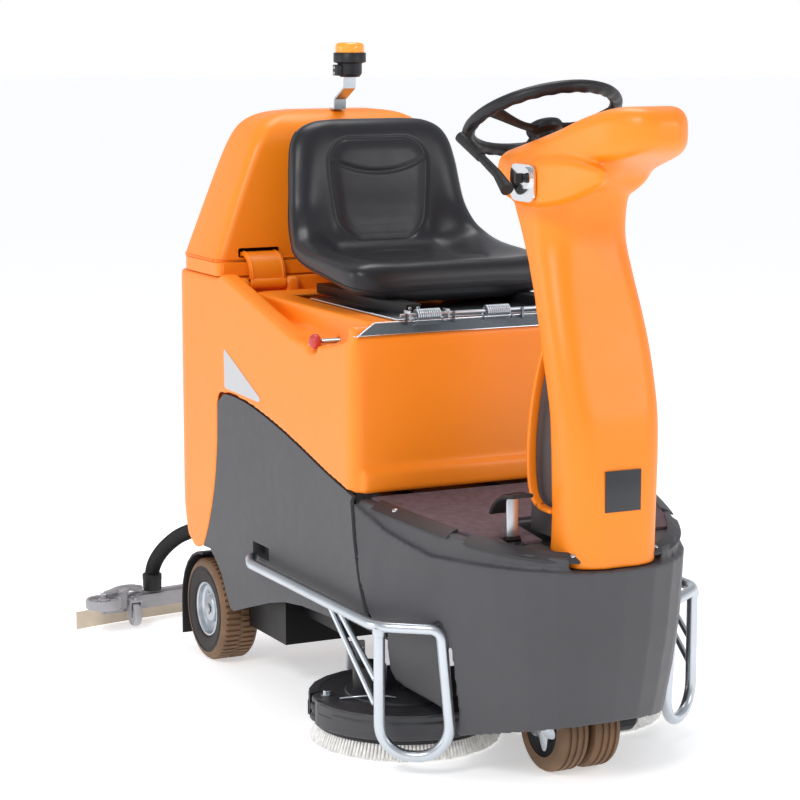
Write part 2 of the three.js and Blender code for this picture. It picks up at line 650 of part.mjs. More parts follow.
// Welded frame: front beam with the steering head, battery floor, rails and the black rear box
function chassisFrame() {
  const floor = box([-235, 310, 205], [235, 1000, 211]);
  const rails = [-1, 1].map((s) => box(
    [s > 0 ? 200 : -230, 560, 165], [s > 0 ? 230 : -200, 1096, 206]));
  const beam = box([-60, -60, 245], [60, 330, 300]);
  const riser = box([-60, 300, 200], [60, 340, 300]);
  const headTube = rod([0, 0, 236], [0, 0, 312], 52, 20);
  const headBore = rod([0, 0, 150], [0, 0, 400], FORK_SHAFT_RADIUS + 1, 20);
  const trayOuter = box([-270, 741, 100], [270, 940, 208]);
  const trayInner = box([-266, 745, 104], [266, 960, 204.9]);
  const rearCross = box([-230, 1076, 165], [230, 1096, 206]);
  const axlePlates = [-1, 1].map((s) => box(
    [s > 0 ? 202 : -212, 1030, 88], [s > 0 ? 212 : -202, 1100, 190]));
  const axleBore = rod(
    [-260, WHEELBASE, REAR_RADIUS], [260, WHEELBASE, REAR_RADIUS], AXLE_RADIUS + GAP, 20);
  const liftEars = [-1, 1].map((s) => box(
    [s > 0 ? 42 : -54, 1090, 166], [s > 0 ? 54 : -42, 1126, 200]));
  const liftPin = rod([-50, ...LIFT_PIVOT], [50, ...LIFT_PIVOT], 5, 12);
  const tray = cut(trayOuter, trayInner);
  const front = join(floor, ...rails, beam, riser, headTube, tray);
  const rear = join(rearCross, ...axlePlates, ...liftEars, liftPin);
  return cut(join(front, rear), headBore, axleBore);
}

function batteryPack(y0, y1) {
  const block = box([-180, y0, 213], [180, y1, 470]);
  const handles = [-1, 1].map((s) => box([s * 100 - 30, y0 + 20, 469], [s * 100 + 30, y1 - 20, 480]));
  return join(block, ...handles);
}

// Dirty water tank: a vessel with a flange that shows as a band under the lid
function recoveryTank() {
  const flange = extrudeZ(roundedOutline(325, 966, 1205, 14, 62, 3), BAND_BOTTOM + 1, BAND_TOP);
  const vessel = extrudeZ(roundedOutline(302, 974, 1186, 30, 50, 3), 620, BAND_TOP);
  const hollow = extrudeZ(roundedOutline(296, 980, 1180, 26, 46, 3), 626, 950);
  const ears = [-1, 1].flatMap((s) => [[165, 184.5], [215.5, 235]].map(([a, b]) => {
    const [x0, x1] = s > 0 ? [a, b] : [-b, -a];
    const barrel = rod([x0, ...LID_PIVOT], [x1, ...LID_PIVOT], 7, 12);
    return join(barrel, box([x0, 1196, 890], [x1, LID_PIVOT[0] + 5, BAND_TOP]));
  }));
  return cut(join(flange, vessel, ...ears), hollow);
}

function lidRing([z, half, front, rear], shrink) {
  const outline = roundedOutline(half - shrink, front + shrink, rear - shrink, 22, 48, 4);
  return outline.map(([x, y]) => [x, y, z]);
}

// Tank lid: a tapered dome with two notches for the latches and two hinge barrels behind
function tankLid() {
  const rings = [
    [904.5, 318, LID_FRONT, LID_REAR], [1000, 284, 994, 1203], [1100, 246, 998, 1197],
    [1165, 219, 1003, 1189], [1195, 201, 1012, 1178], [1212, 175, 1026, 1164], [1226, 110, 1052, 1138],
  ];
  const skin = loft(rings.map((ring) => lidRing(ring, 0)));
  const inner = [[900, 318, LID_FRONT, LID_REAR], ...rings.slice(1, -1)];
  const hollow = loft(inner.map(([z, ...rest]) => lidRing([z - 3, ...rest], 5)));
  const notches = [-1, 1].map((s) => box(
    [s * LATCH_X - 50, 960, 911], [s * LATCH_X + 50, 1012, 932]));
  const barrels = [-1, 1].map((s) => {
    const [x0, x1] = [s * 200 - 15, s * 200 + 15];
    const barrel = rod([x0, ...LID_PIVOT], [x1, ...LID_PIVOT], 7, 12);
    return join(barrel, box([x0, LID_REAR - 8, 905], [x1, LID_PIVOT[0], 913]));
  });
  return join(cut(skin, hollow, ...notches), ...barrels);
}

// Suction turbine, hung from the underside of the lid's crown
function suctionTurbine() {
  const profile = [[0, 0], [34, 0], [44, 10], [44, 56], [52, 62], [52, 92], [40, 106], [0, 106]];
  return turned(profile, [90, 1096, 1102.5], [0, 0, 1], 20);
}

// C-shaped latch strap on the +X side
function lidLatch() {
  const centre = [990, 874];
  const arc = (radius) => {
    const points = [];
    for (let i = 0; i <= 8; i += 1) {
      const a = THREE.MathUtils.degToRad(80 + i * 15);
      points.push([centre[0] + radius * Math.cos(a), centre[1] + radius * Math.sin(a)]);
    }
    return points;
  };
  const strap = extrudeX([...arc(50), ...arc(40).reverse()], LATCH_X - 42, LATCH_X + 42);
  const barrel = rod([LATCH_X - 42, ...LATCH_PIVOT], [LATCH_X + 42, ...LATCH_PIVOT], 13, 16);
  const bore = rod([LATCH_X - 60, ...LATCH_PIVOT], [LATCH_X + 60, ...LATCH_PIVOT], 4.5, 10);
  return cut(join(strap, barrel), bore);
}

// Padded block through rings of height, half width, front and rear
function seatBlock(rings, corner) {
  return loft(rings.map(([z, half, front, rear]) => roundedOutline(half, front, rear, corner, corner, 5)
    .map(([x, y]) => [x, y, z])));
}

function seatCushion() {
  return seatBlock([
    [872, 205, 520, 838], [884, 228, 470, 862], [905, 240, 452, 876], [935, 240, 456, 880],
    [956, 222, 480, 872],
  ], 60);
}

function seatBackrest() {
  return seatBlock([
    [957, 226, 800, 888], [990, 212, 806, 900], [1060, 202, 818, 912], [1130, 198, 832, 922],
    [1180, 176, 846, 928], [1214, 120, 862, 926],
  ], 30);
}

function seatPlate() {
  const plate = box([-220, 306, 846.5], [220, 850, 850]);
  const rails = [-1, 1].map((s) => box([s * 150 - 18, 420, 849], [s * 150 + 18, 800, 871.5]));
  const ears = [-195, -110, 45, 110, 195].map((x) => box([x - 2, 296, 847], [x + 2, 318, 864]));
  const bore = rod([-230, ...SEAT_HINGE], [230, ...SEAT_HINGE], 4.2, 8);
  return cut(join(plate, ...rails, ...ears), bore);
}

// Hinge rod with its three torsion springs
function hingeRod() {
  const shaft = rod([-215, ...SEAT_HINGE], [215, ...SEAT_HINGE], 3.5, 8);
  const coils = [-155, 0, 155].map((x) => rod([x - 22, ...SEAT_HINGE], [x + 22, ...SEAT_HINGE], 7, 10));
  return join(shaft, ...coils);
}

// Galvanised strip along the tank's front edge, with mitred ends and rod ears
function hingeStrip() {
  const bottom = [[-333, 274], [333, 274], [272, 301], [-272, 301]];
  const wedge = extrudeX([[279.5, 826], [281.5, 824.1], [301, 843.6], [301, 846], [299.6, 846]], -333, 333);
  const plan = extrudeZ(bottom, 800, 900);
  const ears = [-205, -100, 55, 100, 205].map((x) => box([x - 2, 293, 841], [x + 2, 298, 862]));
  const bore = rod([-230, ...SEAT_HINGE], [230, ...SEAT_HINGE], 4.2, 8);
  return cut(join(wedge.intersect(plan), ...ears), bore);
}

function redKnob() {
  const profile = [[0, 0], [13, 0], [15, 4], [15, 14], [12, 18], [0, 19]];
  const head = turned(profile, [-314, ...KNOB], [-1, 0, 0], 20);
  const shank = rod([-315, ...KNOB], [-256, ...KNOB], 5, 12);
  return join(head, shank);
}

// Beacon and its strap
function beaconStrap() {
  const side = [
    [1034, 1227], [1062, 1227], [1062, 1230], [1038, 1230], [1036, 1252], [987, 1278], [985, 1299.5],
    [981, 1299.5], [983, 1275], [1032, 1249],
  ];
  return extrudeX(side, -14, 14);
}

function beaconBase() {
  const profile = [[0, 0], [22, 0], [27, 6], [27, 27], [36, 31], [36, 53], [0, 53]];
  const body = turned(profile, [0, ...BEACON], [0, 0, 1], 24);
  const clamp = box([-36, BEACON[0] - 14, BEACON[1] + 2], [-20, BEACON[0] + 14, BEACON[1] + 27]);
  return join(body, clamp);
}

function beaconLens() {
  const profile = [[0, 0], [32, 0], [32, 15], [28, 20], [14, 22], [0, 22]];
  return turned(profile, [0, BEACON[0], BEACON[1] + 53 + GAP], [0, 0, 1], 24);
}

// U-shaped brush guard on the -X side
function guardTube(radius) {
  const rear = new THREE.Vector2(...GUARD_REAR);
  const front = new THREE.Vector2(...GUARD_FRONT);
  const middle = rear.clone().add(front).multiplyScalar(0.5);
  const bendRadius = rear.distanceTo(front) / 2;
  const towardsFront = front.clone().sub(rear).normalize();
  const [bendZ, legZ, rearTop, frontTop] = [110, 200, 286, 257 + radius];
  const points = [[rear.x, rear.y, rearTop], [rear.x, rear.y, legZ]];
  for (let i = 0; i <= 8; i += 1) {
    const a = Math.PI * (1 - i / 8);
    const at = middle.clone().addScaledVector(towardsFront, bendRadius * Math.cos(a));
    points.push([at.x, at.y, bendZ - bendRadius * Math.sin(a)]);
  }
  points.push([front.x, front.y, legZ], [front.x, front.y, frontTop]);
  return tube(points, radius, 16, 8);
}

// Side tube with its brush guard and braces on the -X side
function sideTube() {
  const rail = new THREE.CurvePath();
  const v = (x, y, z) => new THREE.Vector3(x, y, z);
  rail.add(new THREE.LineCurve3(v(-344, 748, TUBE_Z + 5), v(-352, 728, TUBE_Z + 3)));
  rail.add(new THREE.QuadraticBezierCurve3(
    v(-352, 728, TUBE_Z + 3), v(-TUBE_X, 708, TUBE_Z), v(-TUBE_X, 680, TUBE_Z)));
  rail.add(new THREE.LineCurve3(v(-TUBE_X, 680, TUBE_Z), v(-TUBE_X, 190, TUBE_Z)));
  rail.add(new THREE.QuadraticBezierCurve3(
    v(-TUBE_X, 190, TUBE_Z), v(-TUBE_X, 112, TUBE_Z), v(...RAIL_BEND, TUBE_Z)));
  rail.add(new THREE.LineCurve3(v(...RAIL_BEND, TUBE_Z), v(...RAIL_END, TUBE_Z)));
  const braces = [[317, 152, 138], [272, 148, 186]].map(([y, yEnd, z]) => rod(
    [-TUBE_X, y, TUBE_Z], [-TUBE_X + 2, yEnd - 22, z], 5, 6));
  return join(tubeAlong(rail, TUBE_RADIUS, 18, 8), guardTube(TUBE_RADIUS), ...braces);
}

// Brush deck: two shallow drums joined across the middle, with lugs for the deflector rollers
function brushDeck() {
  const sides = [-1, 1];
  const drum = (z0, z1, radius, segments) => sides.map((s) => rod(
    [s * BRUSH_OFFSET, BRUSH_AXIS, z0], [s * BRUSH_OFFSET, BRUSH_AXIS, z1], radius, segments));
  const [rollerX, rollerY] = ROLLER;
  const atRoller = (z0, z1, radius) => sides.map((s) => rod(
    [s * rollerX, rollerY, z0], [s * rollerX, rollerY, z1], radius, 20));
  const drums = drum(45, DECK_TOP, DECK_RADIUS, 24);
  const inside = drum(30, 84, DECK_RADIUS - 4, 24);
  const bores = drum(70, 110, 16, 16);
  const web = box([-190, BRUSH_AXIS - 120, 84], [190, BRUSH_AXIS + 120, DECK_TOP]);
  const lugs = sides.map((s) => box([s * 232 - 12, 452, 90], [s * 232 + 12, 462, 150]));
  const wells = atRoller(40, DECK_TOP + 4, 37);
  const posts = atRoller(43, 97, 8);
  const arms = sides.map((s) => box(
    [s * 319.5 - 37.5, rollerY - 10, 84], [s * 319.5 + 37.5, rollerY + 10, 92]));
  const shell = cut(join(...drums, web), ...inside, ...bores, ...wells);
  return join(shell, ...lugs, ...arms, ...posts);
}

function deflectorRoller() {
  const profile = [[8.6, 0], [30, 0], [33, 3], [33, 33], [30, 36], [8.6, 36], [8.6, 0]];
  return turned(profile, [...ROLLER, 46], [0, 0, 1], 16);
}

// Brush: drive shaft and disc with a skirt of bristles, on the +X side
function brush() {
  const profile = [
    [0, 106], [14, 106], [14, 36], [BRUSH_RADIUS - 12, 34], [BRUSH_RADIUS, 2], [BRUSH_RADIUS - 60, 2],
    [BRUSH_RADIUS - 64, 26], [0, 26],
  ];
  return turned(profile, [BRUSH_OFFSET, BRUSH_AXIS, 0], [0, 0, 1], 24);
}

function brushMotor() {
  const profile = [[0, 0], [36, 0], [36, 52], [31, 58], [15, 62], [0, 62]];
  return turned(profile, [...BRUSH_MOTOR, DECK_TOP + GAP], [0, 0, 1], 20);
}

// A band that follows the squeegee's curve, set forward of the blade line
function sweptBand(forward, depth, z0, z1, half, steps = 16) {
  const centreY = SQUEEGEE_BACK - SQUEEGEE_SWEEP;
  const edge = (radius) => {
    const points = [];
    for (let i = 0; i <= steps; i += 1) {
      const x = -half + (2 * half * i) / steps;
      points.push([x, centreY + Math.sqrt(radius * radius - x * x)]);
    }
    return points;
  };
  const outer = edge(SQUEEGEE_SWEEP - forward);
  const innerEdge = edge(SQUEEGEE_SWEEP - forward - depth).reverse();
  return extrudeZ([...outer, ...innerEdge], z0, z1);
}

// Squeegee: cast bar, drawbar to the chassis, hose cuff and wheel brackets
function squeegeeBar() {
  const bar = sweptBand(4.6, 38, 36, 68, 428, 10);
  const spine = sweptBand(18, 16, 60, 75, 380, 10);
  const drawbars = [-1, 1].map((s) => rod([s * 30, ...LIFT_PIVOT], [s * 90, 1470, 66], 9, 10));
  const sleeve = rod([-41, ...LIFT_PIVOT], [41, ...LIFT_PIVOT], 11, 16);
  const sleeveBore = rod([-60, ...LIFT_PIVOT], [60, ...LIFT_PIVOT], 5.5, 12);
  const forks = [-1, 1].map((s) => {
    const [x, y, z] = [s * CASTOR_X, ...CASTOR];
    const plate = box([x - 16, y - 12, z + 30], [x + 16, y + 44, z + 36]);
    const ears = [-1, 1].map((t) => box(
      [x + t * 13.5 - 2, y - 10, z - 7], [x + t * 13.5 + 2, y + 10, z + 34]));
    return join(plate, ...ears, rod([x - 14, y, z], [x + 14, y, z], 4, 10));
  });
  const guideArms = [-1, 1].map((s) => {
    const post = rod([s * GUIDE_X, GUIDE_Y, 50], [s * GUIDE_X, GUIDE_Y, 96], 7, 12);
    return join(post, box([s * 435 - 22, GUIDE_Y - 10, 50], [s * 435 + 22, GUIDE_Y + 58, 59]));
  });
  return cut(join(bar, spine, ...drawbars, sleeve, ...forks, ...guideArms), sleeveBore);
}

function squeegeeBlade() {
  return sweptBand(0, 4, 2, 43, SQUEEGEE_HALF, 12);
}

function guideWheel() {
  const profile = [[7.6, 0], [41, 0], [43, 4], [43, 18], [41, 22], [7.6, 22], [7.6, 0]];
  return turned(profile, [GUIDE_X, GUIDE_Y, 64], [0, 0, 1], 20);
}

function castorWheel() {
  const width = 18;
  const profile = [
    [4.5, 0], [25, 0], [28, 3], [28, width - 3], [25, width], [4.5, width], [4.5, 0],
  ];
  return turned(profile, [CASTOR_X - width / 2, ...CASTOR], [1, 0, 0], 16);
}

function hoseCuff() {
  const [x, y, z] = CUFF;
  const profile = [[14, 5], [22, 5], [23, 44], [20.6, 44], [20.6, 30], [14, 28], [14, 5]];
  return turned(profile, [x, y, z], [0, 0, 1], 16);
}

// Foot pedal on a post that stands in the floor's pocket
function drivePedal() {
  const [y, z] = PEDAL;
  const post = box([PEDAL_X - 12, y - 3, z - 4], [PEDAL_X + 12, y + 3, z + 78]);
  const hub = rod([PEDAL_X - 15, y, z], [PEDAL_X + 15, y, z], 6, 16);
  const side = [
    [y + 50, z + 40], [y + 52, z + 51], [y + 30, z + 72], [y, z + 86], [y - 40, z + 92],
    [y - 42, z + 86], [y, z + 77], [y + 26, z + 63], [y + 44, z + 41],
  ];
  return join(post, hub, extrudeX(side, PEDAL_X - 22, PEDAL_X + 22));
}

// Right-hand (-X) and left-hand (+X) pieces are mirror images
function addPair(name, leftSolid, finish) {
  addPart(`${name}_left`, leftSolid, finish);
  addPart(`${name}_right`, mirrored(leftSolid), finish);
}

addPart('chassis_frame', chassisFrame(), black);
addPart('rear_axle', rearAxle(), zinc);
addPart('battery_pack_front', batteryPack(350, 580), black);
addPart('battery_pack_rear', batteryPack(590, 820), black);
addPart('tank_body', tankBody(), orange);
addPart('recovery_tank', recoveryTank(), orange);
addPart('tank_lid', tankLid(), orange);
addPart('suction_turbine', suctionTurbine(), black);
addPair('lid_latch', lidLatch(), orange);
addPair('side_panel', mirrored(sidePanel()), darkGrey);
addPart('front_housing', frontHousing(), darkGrey);
addPart('foot_mat', footMat(), mat);
addPart('column_shell', columnShell(), orange);
addPart('column_insert', columnInsert(), darkGrey);
addPart('key_plate', keyPlate(), zinc);
addPart('ignition_key', ignitionKey(), black);
addPart('drive_lever', driveLever(), black);
addPart('display_panel', displayBlock(0), black);
addPart('drive_pedal', drivePedal(), black);
addPart('seat_cushion', seatCushion(), black);
addPart('seat_backrest', seatBackrest(), black);
addPart('seat_plate', seatPlate(), black);
addPart('hinge_rod', hingeRod(), zinc);
addPart('hinge_strip', hingeStrip(), zinc);
addPart('red_knob', redKnob(), red);
addPart('beacon_strap', beaconStrap(), zinc);
addPart('beacon_base', beaconBase(), black);
addPart('beacon_lens', beaconLens(), amber);
addPair('rear_tyre', rearTyre(), brownRubber);
addPair('rear_hub', rearHub(), zinc);
addPair('mud_flap', mudFlap(), black);
addPart('drive_fork', driveFork(), black);
addPart('drive_motor', driveMotor(), black);
addPart('drive_hub', driveHub(), zinc);
for (const [name, side] of [['left', 1], ['right', -1]]) {
  const middle = side * (DRIVE_TYRE_WIDTH + DRIVE_TYRE_GAP) / 2;
  addPart(`drive_tyre_${name}`, driveTyre(middle), brownRubber);
}
addPair('side_tube', mirrored(sideTube()), zinc);
addPart('brush_deck', brushDeck(), darkGrey);
addPair('brush_motor', brushMotor(), black);
addPair('brush', brush(), bristle);
addPair('deflector_roller', deflectorRoller(), darkGrey);
addPart('squeegee_bar', squeegeeBar(), castGrey);
addPart('squeegee_blade', squeegeeBlade(), cream);
addPair('guide_wheel', guideWheel(), castGrey);
addPair('castor_wheel', castorWheel(), castGrey);
addPart('hose_cuff', hoseCuff(), black);
addPart('suction_hose', tube(HOSE_ROUTE, HOSE_RADIUS, 16, 10), black);

const steering = new THREE.Group();
steering.position.set(0, ...WHEEL_CENTRE);
steering.rotation.x = -WHEEL_TILT;
machine.add(steering);
steering.add(addPart('steering_wheel', steeringWheel(), black));
steering.add(addPart('steering_shaft', steeringShaft(), zinc));

const scrubber = new THREE.Group();
scrubber.add(machine);
export default scrubber;
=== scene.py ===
"""Ride-on floor scrubber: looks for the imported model. Sizes are in millimetres from the front
axle's contact line on the floor, as in the part; at() turns them into the frame's metres."""

import math
import random

import bmesh
import bpy
from mathutils import Matrix, Vector, noise


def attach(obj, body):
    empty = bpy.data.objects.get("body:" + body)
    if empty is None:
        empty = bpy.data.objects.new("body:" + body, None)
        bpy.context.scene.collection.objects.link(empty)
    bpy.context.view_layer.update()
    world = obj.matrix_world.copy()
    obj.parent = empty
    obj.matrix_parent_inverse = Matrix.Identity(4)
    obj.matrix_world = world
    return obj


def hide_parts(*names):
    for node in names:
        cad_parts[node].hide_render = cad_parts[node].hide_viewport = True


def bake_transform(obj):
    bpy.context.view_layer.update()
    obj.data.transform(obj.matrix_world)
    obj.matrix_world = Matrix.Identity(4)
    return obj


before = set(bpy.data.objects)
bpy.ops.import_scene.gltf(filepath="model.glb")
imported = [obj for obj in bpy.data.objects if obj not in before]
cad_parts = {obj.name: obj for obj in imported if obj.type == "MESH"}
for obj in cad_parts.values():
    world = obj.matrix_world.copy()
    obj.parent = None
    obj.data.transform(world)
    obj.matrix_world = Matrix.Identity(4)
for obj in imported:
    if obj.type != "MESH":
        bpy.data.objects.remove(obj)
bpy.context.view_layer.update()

FOOTPRINT_MIDDLE = 593
REAR_AXLE = 1066
REAR_RADIUS = 115
DRIVE_RADIUS = 90
BRUSH_OFFSET = 191.5
BRUSH_AXIS = 329
TUBE_RADIUS = 11
WHEEL_CENTRE = (0, 126, 1243)
WHEEL_TILT = math.radians(27)
RIM_RADIUS = 144
SEAT_HINGE = (300, 858)
LATCH_PIVOT = (947, 858)
LATCH_MIDDLE = 218
HOSE_RADIUS = 17.5
HOSE_ROUTE = [
    (-285, 1150, 281), (-288, 1178, 275), (-292, 1215, 264), (-295, 1255, 250), (-298, 1295, 234),
    (-300, 1333, 215), (-302, 1368, 195), (-304, 1401, 172), (-305, 1430, 147), (-306, 1446, 123),
    (-306, 1449, 103),
]
CUFF = (-306, 1449, 71)
BRUSH_MOTOR = (257, 354)
ROLLER = (349, 360)
GUARD_REAR = (352, 115)
GUARD_FRONT = (237, 34)
PEDAL = (-155, -46, 474)
KNOB = (470, 793)
BEACON = (0, 983, 1300)
GUIDE = (455, 1374, 64)
CASTOR = (370, 1398, 34)
SIDES = ((1, "left"), (-1, "right"))


def at(x, y, z):
    return Vector((x, y - FOOTPRINT_MIDDLE, z)) / 1000


# Camera, floor and light


def place_camera():
    data = bpy.data.cameras.new("camera")
    data.lens = 112.5
    data.sensor_width = 36
    data.clip_end = 50
    camera = linked("camera", data)
    camera.location = at(-2373, -4037, 1460)
    look = Vector((0.4398, 0.8843, -0.1567))
    camera.rotation_euler = look.to_track_quat("-Z", "Y").to_euler()
    bpy.context.scene.camera = camera


def area_light(name, place, target, size, power, colour=(1, 1, 1)):
    data = bpy.data.lights.new(name, "AREA")
    data.shape = "DISK"
    data.size = size
    data.energy = power
    data.color = colour
    light = linked(name, data)
    light.location = place
    light.rotation_euler = (Vector(target) - Vector(place)).to_track_quat("-Z", "Y").to_euler()


def light_studio():
    world = bpy.data.worlds.new("studio")
    world.use_nodes = True
    nodes, links = world.node_tree.nodes, world.node_tree.links
    place = nodes.new("ShaderNodeTexCoord")
    split = nodes.new("ShaderNodeSeparateXYZ")
    ramp = nodes.new("ShaderNodeValToRGB")
    links.new(place.outputs["Generated"], split.inputs["Vector"])
    links.new(split.outputs["Z"], ramp.inputs["Fac"])
    stops = ramp.color_ramp.elements
    stops[0].position, stops[0].color = 0.12, (1, 1, 1, 1)
    stops[1].position, stops[1].color = 0.3, (0.5, 0.51, 0.54, 1)
    links.new(ramp.outputs["Color"], nodes["Background"].inputs["Color"])
    nodes["Background"].inputs["Strength"].default_value = 1.0
    scene = bpy.context.scene
    scene.world = world
    scene.view_settings.view_transform = "Standard"
    area_light("key", (-3.4, -2.6, 3.8), (0, 0, 0.5), 1.6, 92)
    area_light("side", (-4.2, 1.6, 1.6), (0, 0.2, 0.6), 2.0, 26)
    area_light("front", (2.4, -3.6, 2.4), (0, -0.2, 0.7), 1.6, 30)
    area_light("top", (0.4, 0.8, 4.0), (0, 0, 0.6), 1.8, 46)


# Mesh makers


def linked(name, data):
    obj = bpy.data.objects.new(name, data)
    bpy.context.collection.objects.link(obj)
    return obj


def object_of(name, work):
    """A mesh object from a bmesh, which it frees."""
    mesh = bpy.data.meshes.new(name)
    work.to_mesh(mesh)
    work.free()
    return linked(name, mesh)


def mesh_object(name, vertices, faces, crease=None):
    mesh = bpy.data.meshes.new(name)
    mesh.from_pydata([tuple(v) for v in vertices], [], faces)
    work = bmesh.new()
    work.from_mesh(mesh)
    bmesh.ops.remove_doubles(work, verts=work.verts, dist=1e-6)
    bmesh.ops.recalc_face_normals(work, faces=work.faces)
    work.to_mesh(mesh)
    work.free()
    mesh.update()
    return shade(linked(name, mesh), crease)


def shade(obj, crease=None):
    """Smooth shading, with edges sharper than crease degrees left sharp."""
    for polygon in obj.data.polygons:
        polygon.use_smooth = True
    if crease:
        obj.data.set_sharp_from_angle(angle=math.radians(crease))
    return obj


def dress(obj, material, body, *nodes, slot=None):
    """Gives a piece its material and the body it rides on, and hides the CAD nodes it stands for."""
    obj.data.materials.clear()
    obj.data.materials.append(M[material])
    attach(obj, body)
    if nodes:
        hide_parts(*nodes)
    return obj


def quads_between(rings, closed=True):
    count = len(rings[0])
    faces = []
    for r in range(len(rings) - 1):
        a, b = r * count, (r + 1) * count
        for i in range(count if closed else count - 1):
            j = (i + 1) % count
            faces.append((a + i, a + j, b + j, b + i))
    return faces


def loft(name, rings, caps=True, crease=None):
    count = len(rings[0])
    vertices = [p for ring in rings for p in ring]
    faces = quads_between(rings)
    if caps:
        faces.append(tuple(range(count)))
        faces.append(tuple(range(len(vertices) - count, len(vertices))))
    return mesh_object(name, vertices, faces, crease)


def frame_of(axis):
    axis = Vector(axis).normalized()
    side = axis.orthogonal().normalized()
    return axis, side, axis.cross(side)


def turned(name, profile, centre, axis, segments=64, crease=35, radius=None):
    """Solid of revolution; profile is (radius, distance along the axis) in millimetres.
    radius(r, h, turn) may change the radius round the turn."""
    axis, side, other = frame_of(axis)
    closed = profile[0] == profile[-1]
    points = profile[:-1] if closed else profile
    rings = []
    for k in range(segments):
        turn = 2 * math.pi * k / segments
        out = side * math.cos(turn) + other * math.sin(turn)
        ring = []
        for r, h in points:
            rr = radius(r, h, turn) if radius else r
            ring.append(centre + (out * rr + axis * h) / 1000)
        rings.append(ring)
    rings.append(rings[0])
    vertices = [p for ring in rings for p in ring]
    return mesh_object(name, vertices, quads_between(rings, closed), crease)


def box_object(name, low, high, bevel=2, segments=2):
    low, high = at(*low), at(*high)
    middle = (low + high) / 2
    work = bmesh.new()
    bmesh.ops.create_cube(work, size=1)
    for v in work.verts:
        v.co = Vector((v.co[i] * abs(high[i] - low[i]) for i in range(3)))
    bmesh.ops.bevel(
        work, geom=work.edges[:], offset=bevel / 1000, segments=segments, affect="EDGES", profile=0.5
    )
    work.transform(Matrix.Translation(middle))
    return shade(object_of(name, work), 40)


def catmull(points, per_span):
    """A smooth curve through the points."""
    points = [Vector(p) for p in points]
    count = len(points)
    result = []
    for i in range(count - 1):
        p1, p2 = points[i], points[i + 1]
        p0 = points[i - 1] if i else p1 * 2 - p2
        p3 = points[i + 2] if i + 2 < count else p2 * 2 - p1
        for k in range(per_span):
            t = k / per_span
            result.append(
                0.5 * (2 * p1 + (p2 - p0) * t + (2 * p0 - 5 * p1 + 4 * p2 - p3) * t * t
                       + (3 * p1 - p0 - 3 * p2 + p3) * t ** 3)
            )
    result.append(points[-1])
    return result


def fillet(points, radii, steps=10):
    """A path with each inner corner rounded to its radius."""
    points = [Vector(p) for p in points]
    path = [points[0]]
    for i in range(1, len(points) - 1):
        corner = points[i]
        a = (points[i - 1] - corner).normalized()
        b = (points[i + 1] - corner).normalized()
        half = a.angle(b) / 2
        back = radii[i - 1] / math.tan(half)
        middle = corner + (a + b).normalized() * radii[i - 1] / math.sin(half)
        start, end = corner + a * back, corner + b * back
        u, w = start - middle, end - middle
        sweep = u.angle(w)
        for k in range(steps + 1):
            t = k / steps
            path.append(middle + (u * math.sin((1 - t) * sweep) + w * math.sin(t * sweep)) / math.sin(sweep))
    path.append(points[-1])
    return path


def swept(name, path, section, up=Vector((0, 0, 1)), crease=None, scale=None):
    """Skin along a path of row-frame points; section is (sideways, upwards) in millimetres."""
    rings = []
    count = len(path)
    for i, p in enumerate(path):
        along = (path[min(i + 1, count - 1)] - path[max(i - 1, 0)]).normalized()
        side = along.cross(up).normalized()
        lift = side.cross(along)
        k = scale(i / (count - 1)) if scale else 1
        rings.append([p + (side * u + lift * v) * k / 1000 for u, v in section])
    return loft(name, rings, crease=crease)


def circle(radius, steps=16):
    return [
        (radius * math.cos(2 * math.pi * k / steps), radius * math.sin(2 * math.pi * k / steps))
        for k in range(steps)
    ]


def pipe(name, path, radius, steps=20):
    """Round tube whose section turns with the path, so that it never twists."""
    rings = []
    count = len(path)
    side = None
    for i, p in enumerate(path):
        along = (path[min(i + 1, count - 1)] - path[max(i - 1, 0)]).normalized()
        if side is None:
            side = along.orthogonal().normalized()
        side = (side - along * side.dot(along)).normalized()
        other = along.cross(side)
        r = radius(i) if callable(radius) else radius
        rings.append([p + (side * a + other * b) / 1000 for a, b in circle(r, steps)])
    return loft(name, rings, crease=60)


def outward(turn):
    return Vector((math.cos(turn), math.sin(turn), 0))


def arc(centre, radius, first, last, steps):
    """Points of a flat arc between two bearings in degrees."""
    turns = [math.radians(first + (last - first) * k / steps) for k in range(steps + 1)]
    return [(centre[0] + radius * math.cos(a), centre[1] + radius * math.sin(a)) for a in turns]


def rounded_rectangle(half, y0, y1, r0, r1, steps):
    corners = ((-half + r0, y0 + r0, r0, 180), (half - r0, y0 + r0, r0, 270),
               (half - r1, y1 - r1, r1, 0), (-half + r1, y1 - r1, r1, 90))
    return [p for x, y, r, start in corners for p in arc((x, y), r, start, start + 90, steps)]


def joined(name, objects):
    """One mesh object from several, each keeping its own shape."""
    work = bmesh.new()
    for obj in objects:
        work.from_mesh(obj.data)
    for obj in objects:
        bpy.data.objects.remove(obj)
    return object_of(name, work)


def apply_modifiers(obj):
    graph = bpy.context.evaluated_depsgraph_get()
    mesh = bpy.data.meshes.new_from_object(obj.evaluated_get(graph))
    obj.modifiers.clear()
    obj.data = mesh


def moulded(name, objects, voxel=4.5, smooth=6):
    """One rounded skin over overlapping closed solids, as a moulding has."""
    whole = joined(name, objects)
    remesh = whole.modifiers.new("skin", "REMESH")
    remesh.mode = "VOXEL"
    remesh.voxel_size = voxel / 1000
    relax = whole.modifiers.new("relax", "SMOOTH")
    relax.factor = 0.5
    relax.iterations = smooth
    apply_modifiers(whole)
    shade(whole)
    return whole


def softened(obj, width, segments=3, angle=30):
    bevel = obj.modifiers.new("edges", "BEVEL")
    bevel.width = width / 1000
    bevel.segments = segments
    bevel.limit_method = "ANGLE"
    bevel.angle_limit = math.radians(angle)
    bevel.use_clamp_overlap = True
    return obj


